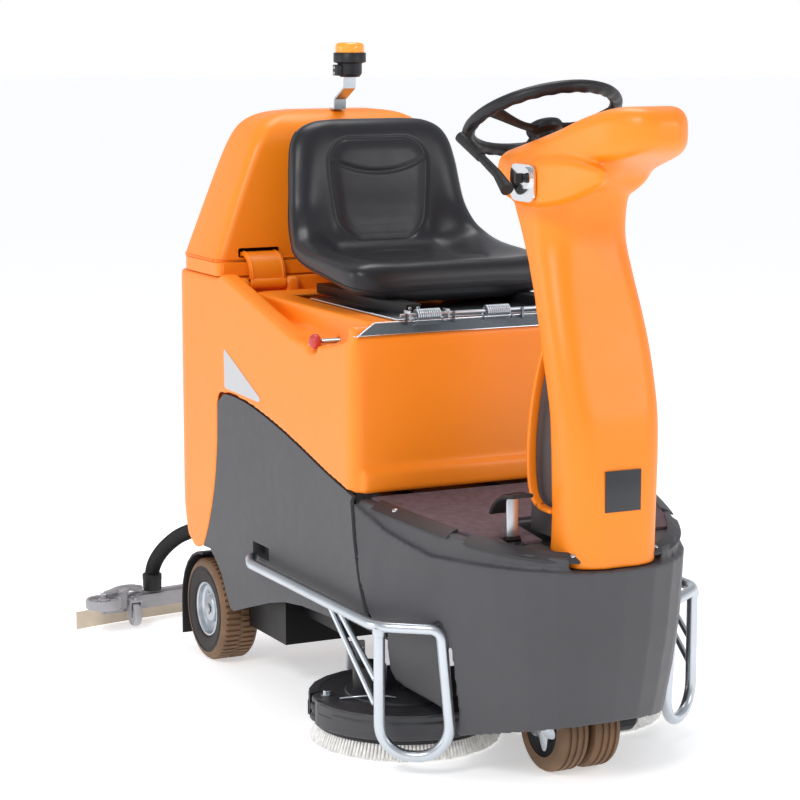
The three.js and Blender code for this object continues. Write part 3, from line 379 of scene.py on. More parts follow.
def carried(node, width, material, slot, segments=2, crease=40, angle=30):
    """A CAD node's own shape with its edges rounded, riding on the machine."""
    obj = softened(copy_of(node), width, segments, angle)
    shade(obj, crease)
    return dress(obj, material, "machine", node, slot=slot)


def copy_of(node):
    return linked(node + "_skin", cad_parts[node].data.copy())


# Materials


def noise_node(nodes, links, place, scale, detail):
    texture = nodes.new("ShaderNodeTexNoise")
    texture.inputs["Scale"].default_value = scale
    texture.inputs["Detail"].default_value = detail
    links.new(place.outputs["Object"], texture.inputs["Vector"])
    return texture


def surface(name, colour, roughness, metallic=0.0, tone=0.06, tone_scale=4.0, grain=0.08,
            grain_scale=900.0, gloss_range=0.06, coat=0.0, sheen=0.0, grain_kind="noise", shine=0.5):
    material = bpy.data.materials.new(name)
    material.use_nodes = True
    nodes, links = material.node_tree.nodes, material.node_tree.links
    shader = nodes["Principled BSDF"]
    shader.inputs["Metallic"].default_value = metallic
    shader.inputs["Specular IOR Level"].default_value = shine
    shader.inputs["Coat Weight"].default_value = coat
    shader.inputs["Coat Roughness"].default_value = 0.18
    shader.inputs["Sheen Weight"].default_value = sheen
    place = nodes.new("ShaderNodeTexCoord")

    clouds = noise_node(nodes, links, place, tone_scale, 5)
    ramp = nodes.new("ShaderNodeValToRGB")
    for stop, position, factor in zip(ramp.color_ramp.elements, (0.32, 0.68), (1 - tone, 1 + tone)):
        stop.position = position
        stop.color = (*(min(1, c * factor) for c in colour), 1)
    links.new(clouds.outputs["Fac"], ramp.inputs["Fac"])
    links.new(ramp.outputs["Color"], shader.inputs["Base Color"])

    smears = noise_node(nodes, links, place, tone_scale * 9, 6)
    rough = nodes.new("ShaderNodeMapRange")
    rough.inputs["To Min"].default_value = max(0.02, roughness - gloss_range)
    rough.inputs["To Max"].default_value = min(1, roughness + gloss_range)
    links.new(smears.outputs["Fac"], rough.inputs["Value"])
    links.new(rough.outputs["Result"], shader.inputs["Roughness"])

    if grain_kind == "leather":
        fine = nodes.new("ShaderNodeTexVoronoi")
        fine.feature = "SMOOTH_F1"
        fine.inputs["Scale"].default_value = grain_scale
        links.new(place.outputs["Object"], fine.inputs["Vector"])
        height = fine.outputs["Distance"]
    else:
        height = noise_node(nodes, links, place, grain_scale, 3).outputs["Fac"]
    bump = nodes.new("ShaderNodeBump")
    bump.inputs["Strength"].default_value = grain
    bump.inputs["Distance"].default_value = 0.001
    links.new(height, bump.inputs["Height"])
    links.new(bump.outputs["Normal"], shader.inputs["Normal"])
    return material


def amber_lens(name):
    material = surface(name, (1.0, 0.42, 0.03), 0.12, tone=0.04, grain=0.02, coat=0.4)
    shader = material.node_tree.nodes["Principled BSDF"]
    shader.inputs["Transmission Weight"].default_value = 0.35
    shader.inputs["Emission Color"].default_value = (1.0, 0.35, 0.02, 1)
    shader.inputs["Emission Strength"].default_value = 0.12
    return material


ORANGE = (0.98, 0.25, 0.006)
M = {
    "orange": surface("orange_plastic", ORANGE, 0.4, tone=0.035, tone_scale=3, grain=0.05,
                      grain_scale=420, gloss_range=0.05, coat=0.03),
    "dark_grey": surface("dark_grey_plastic", (0.03, 0.03, 0.034), 0.5, tone=0.07, grain=0.28,
                         grain_scale=1300),
    "grey": surface("grey_plastic", (0.058, 0.058, 0.064), 0.5, tone=0.07, grain=0.28, grain_scale=1300),
    "mat": surface("floor_mat", (0.12, 0.085, 0.1), 0.85, tone=0.2, tone_scale=60, grain=0.5,
                   grain_scale=700),
    "vinyl": surface("black_vinyl", (0.014, 0.014, 0.017), 0.33, tone=0.1, grain=0.16, grain_scale=700,
                     sheen=0.02, grain_kind="leather", shine=0.36),
    "seat_shell": surface("seat_shell", (0.018, 0.018, 0.02), 0.5, tone=0.08, grain=0.15),
    "steel": surface("black_steel", (0.009, 0.009, 0.01), 0.42, tone=0.12, grain=0.08,
                     grain_scale=300, shine=0.25),
    "plastic": surface("black_plastic", (0.014, 0.014, 0.017), 0.42, tone=0.1, grain=0.14,
                       grain_scale=1200, shine=0.35),
    "soft": surface("black_rubber", (0.014, 0.013, 0.014), 0.55, tone=0.15, tone_scale=20,
                    grain=0.2, shine=0.35),
    "zinc": surface("zinc_plate", (0.56, 0.6, 0.64), 0.3, 1.0, tone=0.06, tone_scale=8, grain=0.008,
                    grain_scale=400, gloss_range=0.03),
    "strip": surface("dull_zinc", (0.24, 0.27, 0.29), 0.24, 1.0, tone=0.12, tone_scale=14, grain=0.015,
                     gloss_range=0.05),
    "chrome": surface("chrome", (0.78, 0.8, 0.82), 0.12, 1.0, tone=0.03, grain=0.01, gloss_range=0.04),
    "tyre": surface("brown_tyre", (0.16, 0.085, 0.04), 0.6, tone=0.22, tone_scale=16, grain=0.3,
                    grain_scale=800),
    "sidewall": surface("dark_sidewall", (0.02, 0.016, 0.015), 0.55, tone=0.2, tone_scale=18,
                        grain=0.25, shine=0.3),
    "deck": surface("deck_paint", (0.045, 0.045, 0.05), 0.4, tone=0.1, grain=0.15, grain_scale=500),
    "bristle": surface("bristle", (0.88, 0.86, 0.83), 0.7, tone=0.15, tone_scale=80, grain=0.1),
    "cast": surface("cast_paint", (0.36, 0.36, 0.38), 0.5, tone=0.12, tone_scale=18, grain=0.35,
                    grain_scale=420),
    "cream": surface("squeegee_rubber", (0.66, 0.56, 0.44), 0.6, tone=0.1, tone_scale=12, grain=0.12),
    "red": surface("red_plastic", (0.5, 0.045, 0.035), 0.36, tone=0.08, grain=0.08),
    "silver": surface("silver_label", (0.62, 0.62, 0.64), 0.32, 0.75, tone=0.05, grain=0.02),
    "badge": surface("dark_label", (0.025, 0.026, 0.03), 0.25, tone=0.1, grain=0.02),
    "brass": surface("brass", (0.7, 0.5, 0.2), 0.25, 1.0, tone=0.1, grain=0.03),
    "amber": amber_lens("amber_lens"),
    "floor": surface("studio_floor", (0.95, 0.95, 0.95), 0.8, tone=0.005, grain=0.02, grain_scale=60),
}


def make_floor():
    half, level = 200, -0.0005
    corners = ((-half, -half), (half, -half), (half, half), (-half, half))
    floor = mesh_object("floor", [(x, y, level) for x, y in corners], [(0, 1, 2, 3)])
    shader = M["floor"].node_tree.nodes["Principled BSDF"]
    shader.inputs["Emission Color"].default_value = (1, 1, 1, 1)
    shader.inputs["Emission Strength"].default_value = 0.46
    floor.data.materials.append(M["floor"])


# Hose


def make_hose():
    path = resample(catmull([at(*p) for p in HOSE_ROUTE], 12), 420)

    def ribs(i):
        return HOSE_RADIUS - 2 + 2 * math.cos(i * math.pi / 3.5)

    hose = pipe("suction_hose_ribbed", path, ribs, 28)
    shade(hose)
    hose.data.materials.append(M["soft"])
    profile = [(14, 5), (21, 5), (22, 8), (22.4, 30), (23, 32), (23, 43), (21, 45), (18, 45), (14, 5)]
    sleeve = turned("hose_sleeve", profile, at(*CUFF), (0, 0, 1), 40)
    dress(sleeve, "soft", "squeegee", "hose_cuff", slot="black_plastic")
    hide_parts("suction_hose")
    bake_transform(hose)


# Tank body, side panels and lid


def bolt(name, place, axis, radius, body, material="zinc", height=4):
    profile = [(0, 0), (radius, 0), (radius, height * 0.75), (radius * 0.85, height), (0, height)]
    head = turned(name, profile, place, axis, 6, crease=20)
    return dress(head, material, body)


def socket_screw(name, place, axis, radius, body, material="zinc"):
    profile = [(0, 0), (radius, 0), (radius, 2.2), (radius * 0.8, 3), (radius * 0.42, 3),
               (radius * 0.4, 1.4), (0, 1.4)]
    return dress(turned(name, profile, place, axis, 24), material, body)


def make_tank():
    tank = moulded("tank_body_skin", [copy_of("tank_body")], 4.4, 22)
    dress(tank, "orange", "machine", "tank_body", slot="orange_shell")
    for side, name in SIDES:
        carried(f"side_panel_{name}", 1.6, "grey", "grey_shell")
        triangle = [(925, 725), (704, 632), (922, 638)]
        corners = fillet([*triangle_loop(triangle)], [6, 6, 6], 5)
        outline = [(v.x, v.y) for v in corners]
        flat = [at(side * 330.2, y, z) for y, z in outline]
        raised = [at(side * 331.0, y, z) for y, z in outline]
        label = loft(f"side_label_{name}", [flat, raised], crease=30)
        dress(label, "silver", "machine")


def triangle_loop(corners):
    """The loop of a triangle, starting and ending halfway along its last side."""
    a, b, c = (Vector((y, z, 0)) for y, z in corners)
    start = (c + a) / 2
    return [start, a, b, c, start]


def lid_rings():
    rows = [
        (904.5, 318, 990, 1207, 22, 44), (912, 317, 990, 1207, 22, 44), (1000, 284, 994, 1203, 22, 46),
        (1100, 246, 998, 1197, 24, 48), (1150, 225, 1001, 1192, 26, 48), (1180, 209, 1007, 1185, 30, 46),
        (1198, 194, 1015, 1176, 32, 42), (1212, 172, 1028, 1163, 30, 36), (1221, 142, 1042, 1149, 26, 30),
        (1226, 100, 1058, 1133, 20, 22),
    ]
    return [
        [at(x, y, z) for x, y in rounded_rectangle(half, y0, y1, r0, r1, 8)]
        for z, half, y0, y1, r0, r1 in rows
    ]


def make_lid():
    lid = loft("tank_lid_outer", catmull_rings(lid_rings(), 4))
    open_below(lid)
    wall = lid.modifiers.new("wall", "SOLIDIFY")
    wall.thickness = 0.005
    wall.offset = -1
    cutters = []
    for side, _ in SIDES:
        x = side * LATCH_MIDDLE
        cutters.append(box_object("notch", (x - 49, 950, 911), (x + 49, 1012, 932), 5, 3))
    cutter = joined("lid_notches", cutters)
    cut = lid.modifiers.new("notches", "BOOLEAN")
    cut.operation = "DIFFERENCE"
    cut.solver = "EXACT"
    cut.object = cutter
    apply_modifiers(lid)
    bpy.data.objects.remove(cutter)
    shade(lid, 38)
    dress(lid, "orange", "lid", "tank_lid", slot="orange_shell")
    for side, name in SIDES:
        x = side * 200
        barrel = turned(f"lid_hinge_barrel_{name}", [(0, 0), (6, 0), (7, 1), (7, 29), (6, 30), (0, 30)],
                        at(x - 15, 1215, 909), (1, 0, 0), 24)
        dress(barrel, "orange", "lid")
        web = box_object(f"lid_hinge_web_{name}", (x - 14, 1198, 905), (x + 14, 1214, 913), 1.5)
        dress(web, "orange", "lid")


def catmull_rings(rings, per_span):
    columns = [catmull([ring[i] for ring in rings], per_span) for i in range(len(rings[0]))]
    return [[column[k] for column in columns] for k in range(len(columns[0]))]


def open_below(obj):
    """Takes away the lowest flat cap."""
    work = bmesh.new()
    work.from_mesh(obj.data)
    lowest = min(work.faces, key=lambda f: f.calc_center_median().z)
    bmesh.ops.delete(work, geom=[lowest], context="FACES_ONLY")
    work.to_mesh(obj.data)
    work.free()


def make_latches():
    middle, radius = (990, 874), 50
    outer = arc(middle, radius, 80, 200, 20)
    inner = arc(middle, 40, 200, 188, 2) + arc(middle, 42.5, 182, 80, 17)
    lip = [(998, 912.5), (999, 918)]
    for side, name in SIDES:
        x = side * LATCH_MIDDLE
        ends = [[at(end, y, z) for y, z in outer + inner + lip] for end in (x - 41.5, x + 41.5)]
        strap = loft(f"latch_strap_{name}", ends)
        softened(strap, 2.2, 3, 40)
        shade(strap, 40)
        dress(strap, "orange", f"latch_{name}", f"lid_latch_{name}", slot="orange_shell")
        profile = [(4.6, 0), (11.5, 0), (13, 1.5), (13, 81.5), (11.5, 83), (4.6, 83), (4.6, 0)]
        barrel = turned(f"latch_barrel_{name}", profile, at(x - 41.5, *LATCH_PIVOT), (1, 0, 0), 36)
        dress(barrel, "orange", f"latch_{name}")
        for edge, place in ((-36, "in"), (36, "out")):
            path = [at(x + edge, y, z) for y, z in arc(middle, radius, 90, 198, 18)]
            dress(pipe(f"latch_rib_{name}_{place}", path, 2.2, 10), "orange", f"latch_{name}")


# Front housing, floor mat


def make_housing():
    housing = moulded("front_housing_skin", [copy_of("front_housing")], 4.2, 5)
    dress(housing, "grey", "machine", "front_housing", slot="grey_shell")
    carried("foot_mat", 1.5, "mat", "floor_mat")
    for side, name in SIDES:
        edge = mat_edge(side)
        for part, (first, last) in (("rear", (4, 20)), ("front", (22, 44))):
            clamp = clamp_plate(f"mat_clamp_{part}_{name}", edge[first:last], side)
            dress(softened(clamp, 0.8, 2, 40), "dark_grey", "machine")
        for k, place in enumerate((8, 41)):
            spot = edge[place]
            screw = at(spot.x + side * 13, spot.y, platform_height(spot.y) + 3)
            out = Vector((side * 0.35, -0.1, 0.93))
            profile = [(0, 0), (6, 0), (5.5, 2), (3, 3.6), (0, 4)]
            dress(turned(f"clamp_screw_{name}_{k}", profile, screw, out, 24), "zinc", "machine")


def mat_edge(side, steps=48):
    """Points along the mat's curved outer edge, from the back to the front."""
    corners = [Vector((298, 300)), Vector((242, 80)), Vector((192, -178)), Vector((0, -170))]
    points = []
    for k in range(steps + 1):
        t = k / steps
        a, b, c, d = ((1 - t) ** 3, 3 * t * (1 - t) ** 2, 3 * t * t * (1 - t), t ** 3)
        x, y = a * corners[0] + b * corners[1] + c * corners[2] + d * corners[3]
        points.append(Vector((side * x, y)))
    return points


def clamp_plate(name, edge, side):
    """Thin strip that holds the mat down and slopes away to the rim."""
    rings = []
    for p in edge:
        z = platform_height(p.y)
        rings.append([
            at(p.x - side * 2, p.y, z + 3.5), at(p.x - side * 2, p.y, z + 7.5),
            at(p.x + side * 9, p.y - 2, z + 4.5), at(p.x + side * 27, p.y - 5, z - 7),
            at(p.x + side * 26, p.y - 5, z - 10),
        ])
    return loft(name, rings, crease=30)


def platform_height(y):
    return 452 + (y + 175) / 460 * 53


# Steering column


COLUMN = [
    (431, 97, -186, -78), (520, 98, -186, -86), (620, 101, -183, -88), (700, 104, -172, -88),
    (760, 106, -153, -78), (830, 106, -132, -56), (900, 103, -106, -30), (970, 99, -80, 2),
    (1030, 98, -64, 32), (1090, 99, -68, 62), (1150, 98, -92, 84),
]
HEAD = [
    (119, 92, 1128, 1181), (108, 106, 1104, 1187), (60, 111, 1090, 1200), (0, 112, 1088, 1216),
    (-80, 109, 1118, 1236), (-112, 107, 1146, 1244), (-150, 102, 1162, 1257), (-210, 92, 1178, 1274),
    (-260, 76, 1190, 1281), (-298, 53, 1203, 1275), (-318, 25, 1218, 1256),
]
POD = [
    (22, -130, 26, 1094, 1166), (-20, -130, 28, 1094, 1176), (-90, -128, 28, 1096, 1184),
    (-160, -116, 22, 1112, 1186), (-215, -102, 16, 1134, 1178), (-245, -92, 8, 1148, 1170),
]


def column_ring(z, half, front, rear):
    nose = min(60, half - 8, (rear - front) * 0.6)
    return [at(x, y, z) for x, y in rounded_rectangle(half, front, rear, nose, 8, 8)]


def head_ring(y, half, low, high, centre=0.0):
    r = min(half, (high - low) / 2) * 0.74
    return [at(centre + x, y, z) for x, z in rounded_rectangle(half, low, high, r * 0.8, r, 6)]


def make_column():
    column = loft("column", catmull_rings([column_ring(*row) for row in COLUMN], 5))
    head = loft("head", catmull_rings([head_ring(*row) for row in HEAD], 4))
    pod_rings = [head_ring(y, half, low, high, x + half) for y, x, half, low, high in POD]
    pod = loft("pod", catmull_rings(pod_rings, 4))
    shell = moulded("column_shell_skin", [column, head, pod], 3.4, 26)
    dress(shell, "orange", "machine", "column_shell", slot="orange_shell")
    plate = box_object("column_badge", (-38.5, -187.2, 538), (37.5, -185.2, 615), 0.6)
    dress(plate, "badge", "machine")
    for side, name in SIDES:
        trim = [
            (-58, 828), (-40, 790), (-20, 730), (-8, 665), (-6, 610), (-12, 565), (-26, 540), (-50, 530),
            (-88, 528),
        ]
        path = catmull([at(side * 92, y, z) for y, z in trim], 8)
        section = [(-9, -3), (-9, 3), (-6, 4), (6, 4), (9, 3), (9, -3), (6, -4), (-6, -4)]
        leaf = swept(f"column_trim_{name}", path, section, up=Vector((0, 1, 0.3)).normalized())
        dress(leaf, "orange", "machine")


# Wheels


def tread(block_count, low, edge, middle):
    """Radius of a tyre with two staggered rows of blocks."""

    def radius(r, h, turn):
        if r < edge:
            return r
        row = 0 if h < middle else 1
        phase = (turn / (2 * math.pi) * block_count + 0.5 * row) % 1
        inside = abs(phase - 0.5) < 0.37 and abs(h - middle) > 2.5
        return r if inside else r - low

    return radius


def make_rear_wheels():
    for side, name in SIDES:
        hub_centre = at(side * 239, REAR_AXLE, REAR_RADIUS)
        across = [12, 16, 22, 28, 34, 40, 42, 46, 48, 54, 60, 66, 72, 76]
        profile = [(63, 6), (80, 1), (100, 0.5), (108, 3), (112.5, 8)]
        profile += [(REAR_RADIUS, h) for h in across]
        profile += [
            (112.5, 80), (108, 84.5), (101, 87), (97, 87.2), (95, 85.4), (90, 85.2), (88, 86.6), (74, 86),
            (66, 84), (63, 81), (63, 6),
        ]
        tyre = turned(f"rear_tyre_tread_{name}", profile, hub_centre, (side, 0, 0), 52 * 8, crease=30,
                      radius=tread(52, 3.6, 114, 44))
        dress(tyre, "tyre", f"rear_wheel_{name}", f"rear_tyre_{name}", slot="brown_rubber")
        tyre.data.materials.append(M["sidewall"])
        for polygon in tyre.data.polygons:
            offset = abs(polygon.center.x - hub_centre.x) * 1000
            reach = math.hypot(polygon.center.y - hub_centre.y, polygon.center.z - hub_centre.z) * 1000
            if reach < 96 and (offset > 80 or offset < 8):
                polygon.material_index = 1
        hub_profile = [
            (12.6, 10), (40, 10), (62, 13), (62, 80), (60.5, 82), (58, 82), (56, 80), (54, 71), (50, 67),
            (38, 65), (32, 65.5), (30, 68), (28.5, 74), (26, 76), (12.6, 76), (12.6, 10),
        ]
        hub = turned(f"rear_hub_disc_{name}", hub_profile, hub_centre, (side, 0, 0), 72, crease=24)
        dress(hub, "zinc", f"rear_wheel_{name}", f"rear_hub_{name}", slot="zinc")
        for k in range(4):
            a = math.pi / 2 * (k + 0.5)
            place = hub_centre + Vector((side * 65, 43 * math.cos(a), 43 * math.sin(a))) / 1000
            bolt(f"wheel_bolt_{name}_{k}", place, (side, 0, 0), 4.5, f"rear_wheel_{name}", height=3)
        end = at(side * 313, REAR_AXLE, REAR_RADIUS)
        bolt(f"axle_nut_{name}", end, (side, 0, 0), 10.5, "machine", height=8)
        carried(f"mud_flap_{name}", 2, "soft", "black_rubber")


def make_drive_wheel():
    for side, name in SIDES:
        centre = at(side * 35, 0, DRIVE_RADIUS)
        profile = [(60.6, -29), (72, -30), (80, -30), (86, -27), (89, -22)]
        for groove in (-14, 0, 14):
            profile += [(90, groove - 3.4), (86.4, groove - 2.2), (86.4, groove + 2.2), (90, groove + 3.4)]
        profile += [(89, 22), (86, 27), (80, 30), (72, 30), (60.6, 29), (60.6, -29)]
        tyre = turned(f"drive_tyre_grooved_{name}", profile, centre, (1, 0, 0), 96, crease=28)
        dress(tyre, "tyre", "drive_wheel", f"drive_tyre_{name}", slot="brown_rubber")
    centre = at(0, 0, DRIVE_RADIUS)
    profile = [(0, -50), (30, -50), (34, -54), (50, -58), (59.6, -62), (59.6, 62), (46, 57), (0, 57)]
    hub = turned("drive_hub_drum", profile, centre, (1, 0, 0), 64)
    dress(hub, "steel", "drive_wheel", "drive_hub", slot="zinc")
    star = turned("drive_hub_star", [(0, -69), (14, -69), (18, -66), (50, -60), (50, -54), (0, -52)], centre,
                  (1, 0, 0), 60, crease=30, radius=star_radius)
    dress(star, "zinc", "drive_wheel")


def star_radius(r, h, turn):
    if r < 20:
        return r
    return r * (0.8 + 0.2 * math.cos(5 * turn))


# Side tubes


def make_side_tubes():
    for side, name in SIDES:
        route = [
            (342, 752, 298.5), (350, 742, 297), (360, 715, 293), (360, 112, 293), (259, 39, 292),
            (*GUARD_FRONT, 40.5), (*GUARD_REAR, 40.5), (*GUARD_REAR, 286),
        ]
        corners = [at(side * x, y, z) for x, y, z in route]
        path = fillet(corners, [0.008, 0.025, 0.07, 0.022, 0.062, 0.062], 12)
        rail = pipe(f"side_rail_{name}", resample(path, 220), TUBE_RADIUS, 28)
        dress(rail, "zinc", "machine", f"side_tube_{name}", slot="zinc")
        for k, (y, y_end, z) in enumerate(((317, 130, 138), (272, 126, 186))):
            start, end = at(side * 360, y, 286), at(side * 355, y_end, z)
            brace = pipe(f"guard_brace_{name}_{k}", [start, start.lerp(end, 0.5), end], 6, 16)
            dress(brace, "zinc", "machine")
        weld = turned(f"guard_weld_{name}", [(11, -9), (12.6, -8), (13.4, 0), (12.6, 8), (11, 9), (11, -9)],
                      at(side * GUARD_REAR[0], GUARD_REAR[1], 282), (0, 0, 1), 32)
        dress(weld, "zinc", "machine")


def resample(path, count):
    lengths = [0.0]
    for a, b in zip(path, path[1:]):
        lengths.append(lengths[-1] + (b - a).length)
    result = []
    k = 0
    for i in range(count):
        target = lengths[-1] * i / (count - 1)
        while k < len(path) - 2 and lengths[k + 1] < target:
            k += 1
        span = lengths[k + 1] - lengths[k]
        t = 0 if span == 0 else (target - lengths[k]) / span
        result.append(path[k].lerp(path[k + 1], min(1, t)))
    return result


# Deck, brushes and deflector rollers


def make_deck():
    deck = copy_of("brush_deck")
    softened(deck, 2.5, 3, 35)
    shade(deck, 35)
    dress(deck, "deck", "deck", "brush_deck", slot="deck_grey")
    for side, name in SIDES:
        centre = at(side * BRUSH_OFFSET, BRUSH_AXIS, 0)
        profile = (
            (172, 96), (186, 96), (191, 94.5), (193.5, 91), (193.5, 74), (195, 72), (195, 47), (193, 45),
            (189, 46), (189, 84), (172, 86),
        )
        skirt = arc_band(f"deck_skirt_{name}", side, profile, (25, 357), 120)
        dress(skirt, "deck", "deck")
        profile = [(0, 95), (0, 99), (118, 99), (121, 96), (121, 95), (0, 95)]
        step = turned(f"deck_step_{name}", profile, centre, (0, 0, 1), 72)
        dress(step, "deck", "deck")
        profile = [
            (0, 0), (36, 0), (36, 5), (34.5, 6), (34.5, 50), (33, 54), (28, 57), (16, 58), (15, 62), (0, 62),
        ]
        place = at(side * BRUSH_MOTOR[0], BRUSH_MOTOR[1], 95.5)
        motor = turned(f"brush_motor_case_{name}", profile, place, (0, 0, 1), 48)
        dress(motor, "plastic", "deck", f"brush_motor_{name}", slot="black_plastic")
        x = side * 262
        bracket = box_object(f"motor_bracket_{name}", (x - 20, 404, 128), (x + 20, 414, 186), 3)
        dress(bracket, "cast", "deck")
        for dx in (-12, 12):
            socket_screw(f"bracket_screw_{name}_{dx}", at(x + dx, 403.5, 172), (0, -1, 0), 4.5, "deck")
        profile = ((196.5, 58), (196.5, 79), (192, 84), (152, 98), (146, 98), (146, 58))
        arc = arc_band(f"deck_arc_{name}", side, profile, (-100, -17), 40)
        dress(softened(arc, 2, 2, 40), "deck", "deck")
        socket_screw(f"arc_screw_{name}", at(side * 326, 232, 91), (0.27, -0.2, 0.94), 5.5, "deck")


def arc_band(name, side, profile, degrees, steps):
    """Part of a ring round the brush's axis, between two bearings; profile is (radius, height)."""
    rings = []
    for k in range(steps + 1):
        a = math.radians(degrees[0] + (degrees[1] - degrees[0]) * k / steps)
        x, y = math.cos(a), math.sin(a)
        rings.append([at(side * (BRUSH_OFFSET + r * x), BRUSH_AXIS + r * y, z) for r, z in profile])
    return loft(name, rings, crease=28)


def make_brushes():
    rows = ((176, 13, 150), (166, 11, 140), (154, 9, 120), (138, 5, 90))
    chance = random.Random(4)
    for side, name in SIDES:
        centre = at(side * BRUSH_OFFSET, BRUSH_AXIS, 0)
        profile = [(0, 106), (13, 106), (13, 42), (178, 42), (180, 40), (180, 34), (178, 33), (0, 33)]
        block = turned(f"brush_block_{name}", profile, centre, (0, 0, 1), 72)
        dress(block, "plastic", f"brush_head_{name}", f"brush_{name}", slot="bristle")
        work = bmesh.new()
        for row, (radius, splay, count) in enumerate(rows):
            for k in range(count):
                out = outward(2 * math.pi * (k + 0.5 * (row % 2)) / count)
                lean = splay + chance.uniform(-1.5, 1.5)
                top = centre + out * radius / 1000 + Vector((0, 0, 0.035))
                lift = Vector((0, 0, 0.0025 + chance.uniform(0, 0.001)))
                add_tuft(work, top, centre + out * (radius + lean) / 1000 + lift, 2.4, 3.4)
        dress(shade(object_of(f"bristles_{name}", work)), "bristle", f"brush_head_{name}")


def add_tuft(work, top, foot, top_radius, foot_radius):
    _, side, other = frame_of(foot - top)
    rings = []
    for place, radius in ((top, top_radius), (foot, foot_radius)):
        ring = []
        for k in range(6):
            a = math.pi * k / 3
            ring.append(work.verts.new(place + (side * math.cos(a) + other * math.sin(a)) * radius / 1000))
        rings.append(ring)
    for k in range(6):
        work.faces.new((rings[0][k], rings[0][(k + 1) % 6], rings[1][(k + 1) % 6], rings[1][k]))
    work.faces.new(rings[1])


def make_rollers():
    for side, name in SIDES:
        profile = [
            (8.6, 0), (29, 0), (32, 1.5), (33, 4), (33, 12), (31, 14.5), (29.5, 16), (29.5, 20), (31, 21.5),
            (33, 24), (33, 32), (32, 34.5), (29, 36), (8.6, 36), (8.6, 0),
        ]
        x, y = side * ROLLER[0], ROLLER[1]
        roller = turned(f"deflector_roller_grooved_{name}", profile, at(x, y, 46), (0, 0, 1), 64)
        dress(roller, "dark_grey", f"roller_{name}", f"deflector_roller_{name}", slot="black_rubber")
        cap = [(0, 0), (27, 0), (30, 1.5), (30, 8.5), (28, 11), (15, 12), (0, 12)]
        dress(turned(f"roller_cap_{name}", cap, at(x, y, 84), (0, 0, 1), 48), "deck", "deck")
        washer = [(0, 0), (13, 0), (13, 2), (0, 2)]
        dress(turned(f"roller_washer_{name}", washer, at(x, y, 96.5), (0, 0, 1), 32), "zinc", "deck")
        bolt(f"roller_bolt_{name}", at(x, y, 98.5), (0, 0, 1), 8, "deck", height=7)
        route = ((338, 322, 97), (318, 300, 103), (290, 285, 106), (262, 268, 106), (244, 262, 103))
        wire = catmull([at(side * wx, wy, wz) for wx, wy, wz in route], 10)
        dress(pipe(f"deck_wire_{name}", wire, 2.4, 10), "zinc", "deck")


# Seat


SEAT_STATIONS = [
    # inner y and z, outer y and z, half width, how far the wings stand up
    (893, 1213, 900, 1212, 84, 0), (876, 1210, 914, 1205, 132, 2), (860, 1194, 926, 1188, 168, 5),
    (848, 1164, 926, 1160, 188, 8), (838, 1120, 920, 1114, 198, 12), (831, 1070, 910, 1058, 204, 16),
    (827, 1024, 900, 1005, 210, 22), (820, 984, 880, 950, 218, 34), (803, 954, 845, 912, 227, 42),
    (770, 936, 795, 884, 236, 40), (720, 928, 735, 868, 240, 36), (660, 926, 670, 860, 241, 32),
    (600, 929, 605, 858, 241, 26), (545, 934, 548, 857, 240, 18), (505, 939, 507, 858, 238, 11),
    (478, 941, 480, 860, 231, 6), (462, 933, 464, 865, 215, 3), (453, 916, 454, 874, 190, 0),
    (450, 898, 451, 884, 155, 0),
]


def smooth_step(low, high, value):
    t = min(1.0, max(0.0, (value - low) / (high - low)))
    return t * t * (3 - 2 * t)


def groove(distance, width):
    return math.exp(-((distance / width) ** 2))


def back_panel_distance(x, z):
    """Signed distance from the outline of the panel let into the backrest."""
    half = 102 + 14 * smooth_step(955, 1120, z)
    corner = 52
    dx = abs(x) - half + corner
    dz = abs(z - 1066) - 106 + corner
    outside = math.hypot(max(dx, 0), max(dz, 0))
    return outside + min(max(dx, dz), 0) - corner


def seat_relief(x, y, z):
    """How far the vinyl stands proud of the plain bucket shape, in millimetres."""
    if z > 940 and y > 790:
        edge = back_panel_distance(x, z)
        relief = -3.4 * groove(edge, 3.6)
        if edge < 0:
            relief += 2.6 * smooth_step(0, -26, edge)
            divider = z - 1101 - 26 * (x / 110) ** 2
            above = 1.5 if divider > 0 else 0
            relief -= 3.4 * groove(divider, 3.6) - above * smooth_step(0, 8, abs(divider))
        return relief
    if z < 940 and 470 < y < 790:
        reach = math.hypot(x / 150, (y - 650) / 118)
        return -1.5 * groove((reach - 1) * 110, 3.2)
    return 0.0


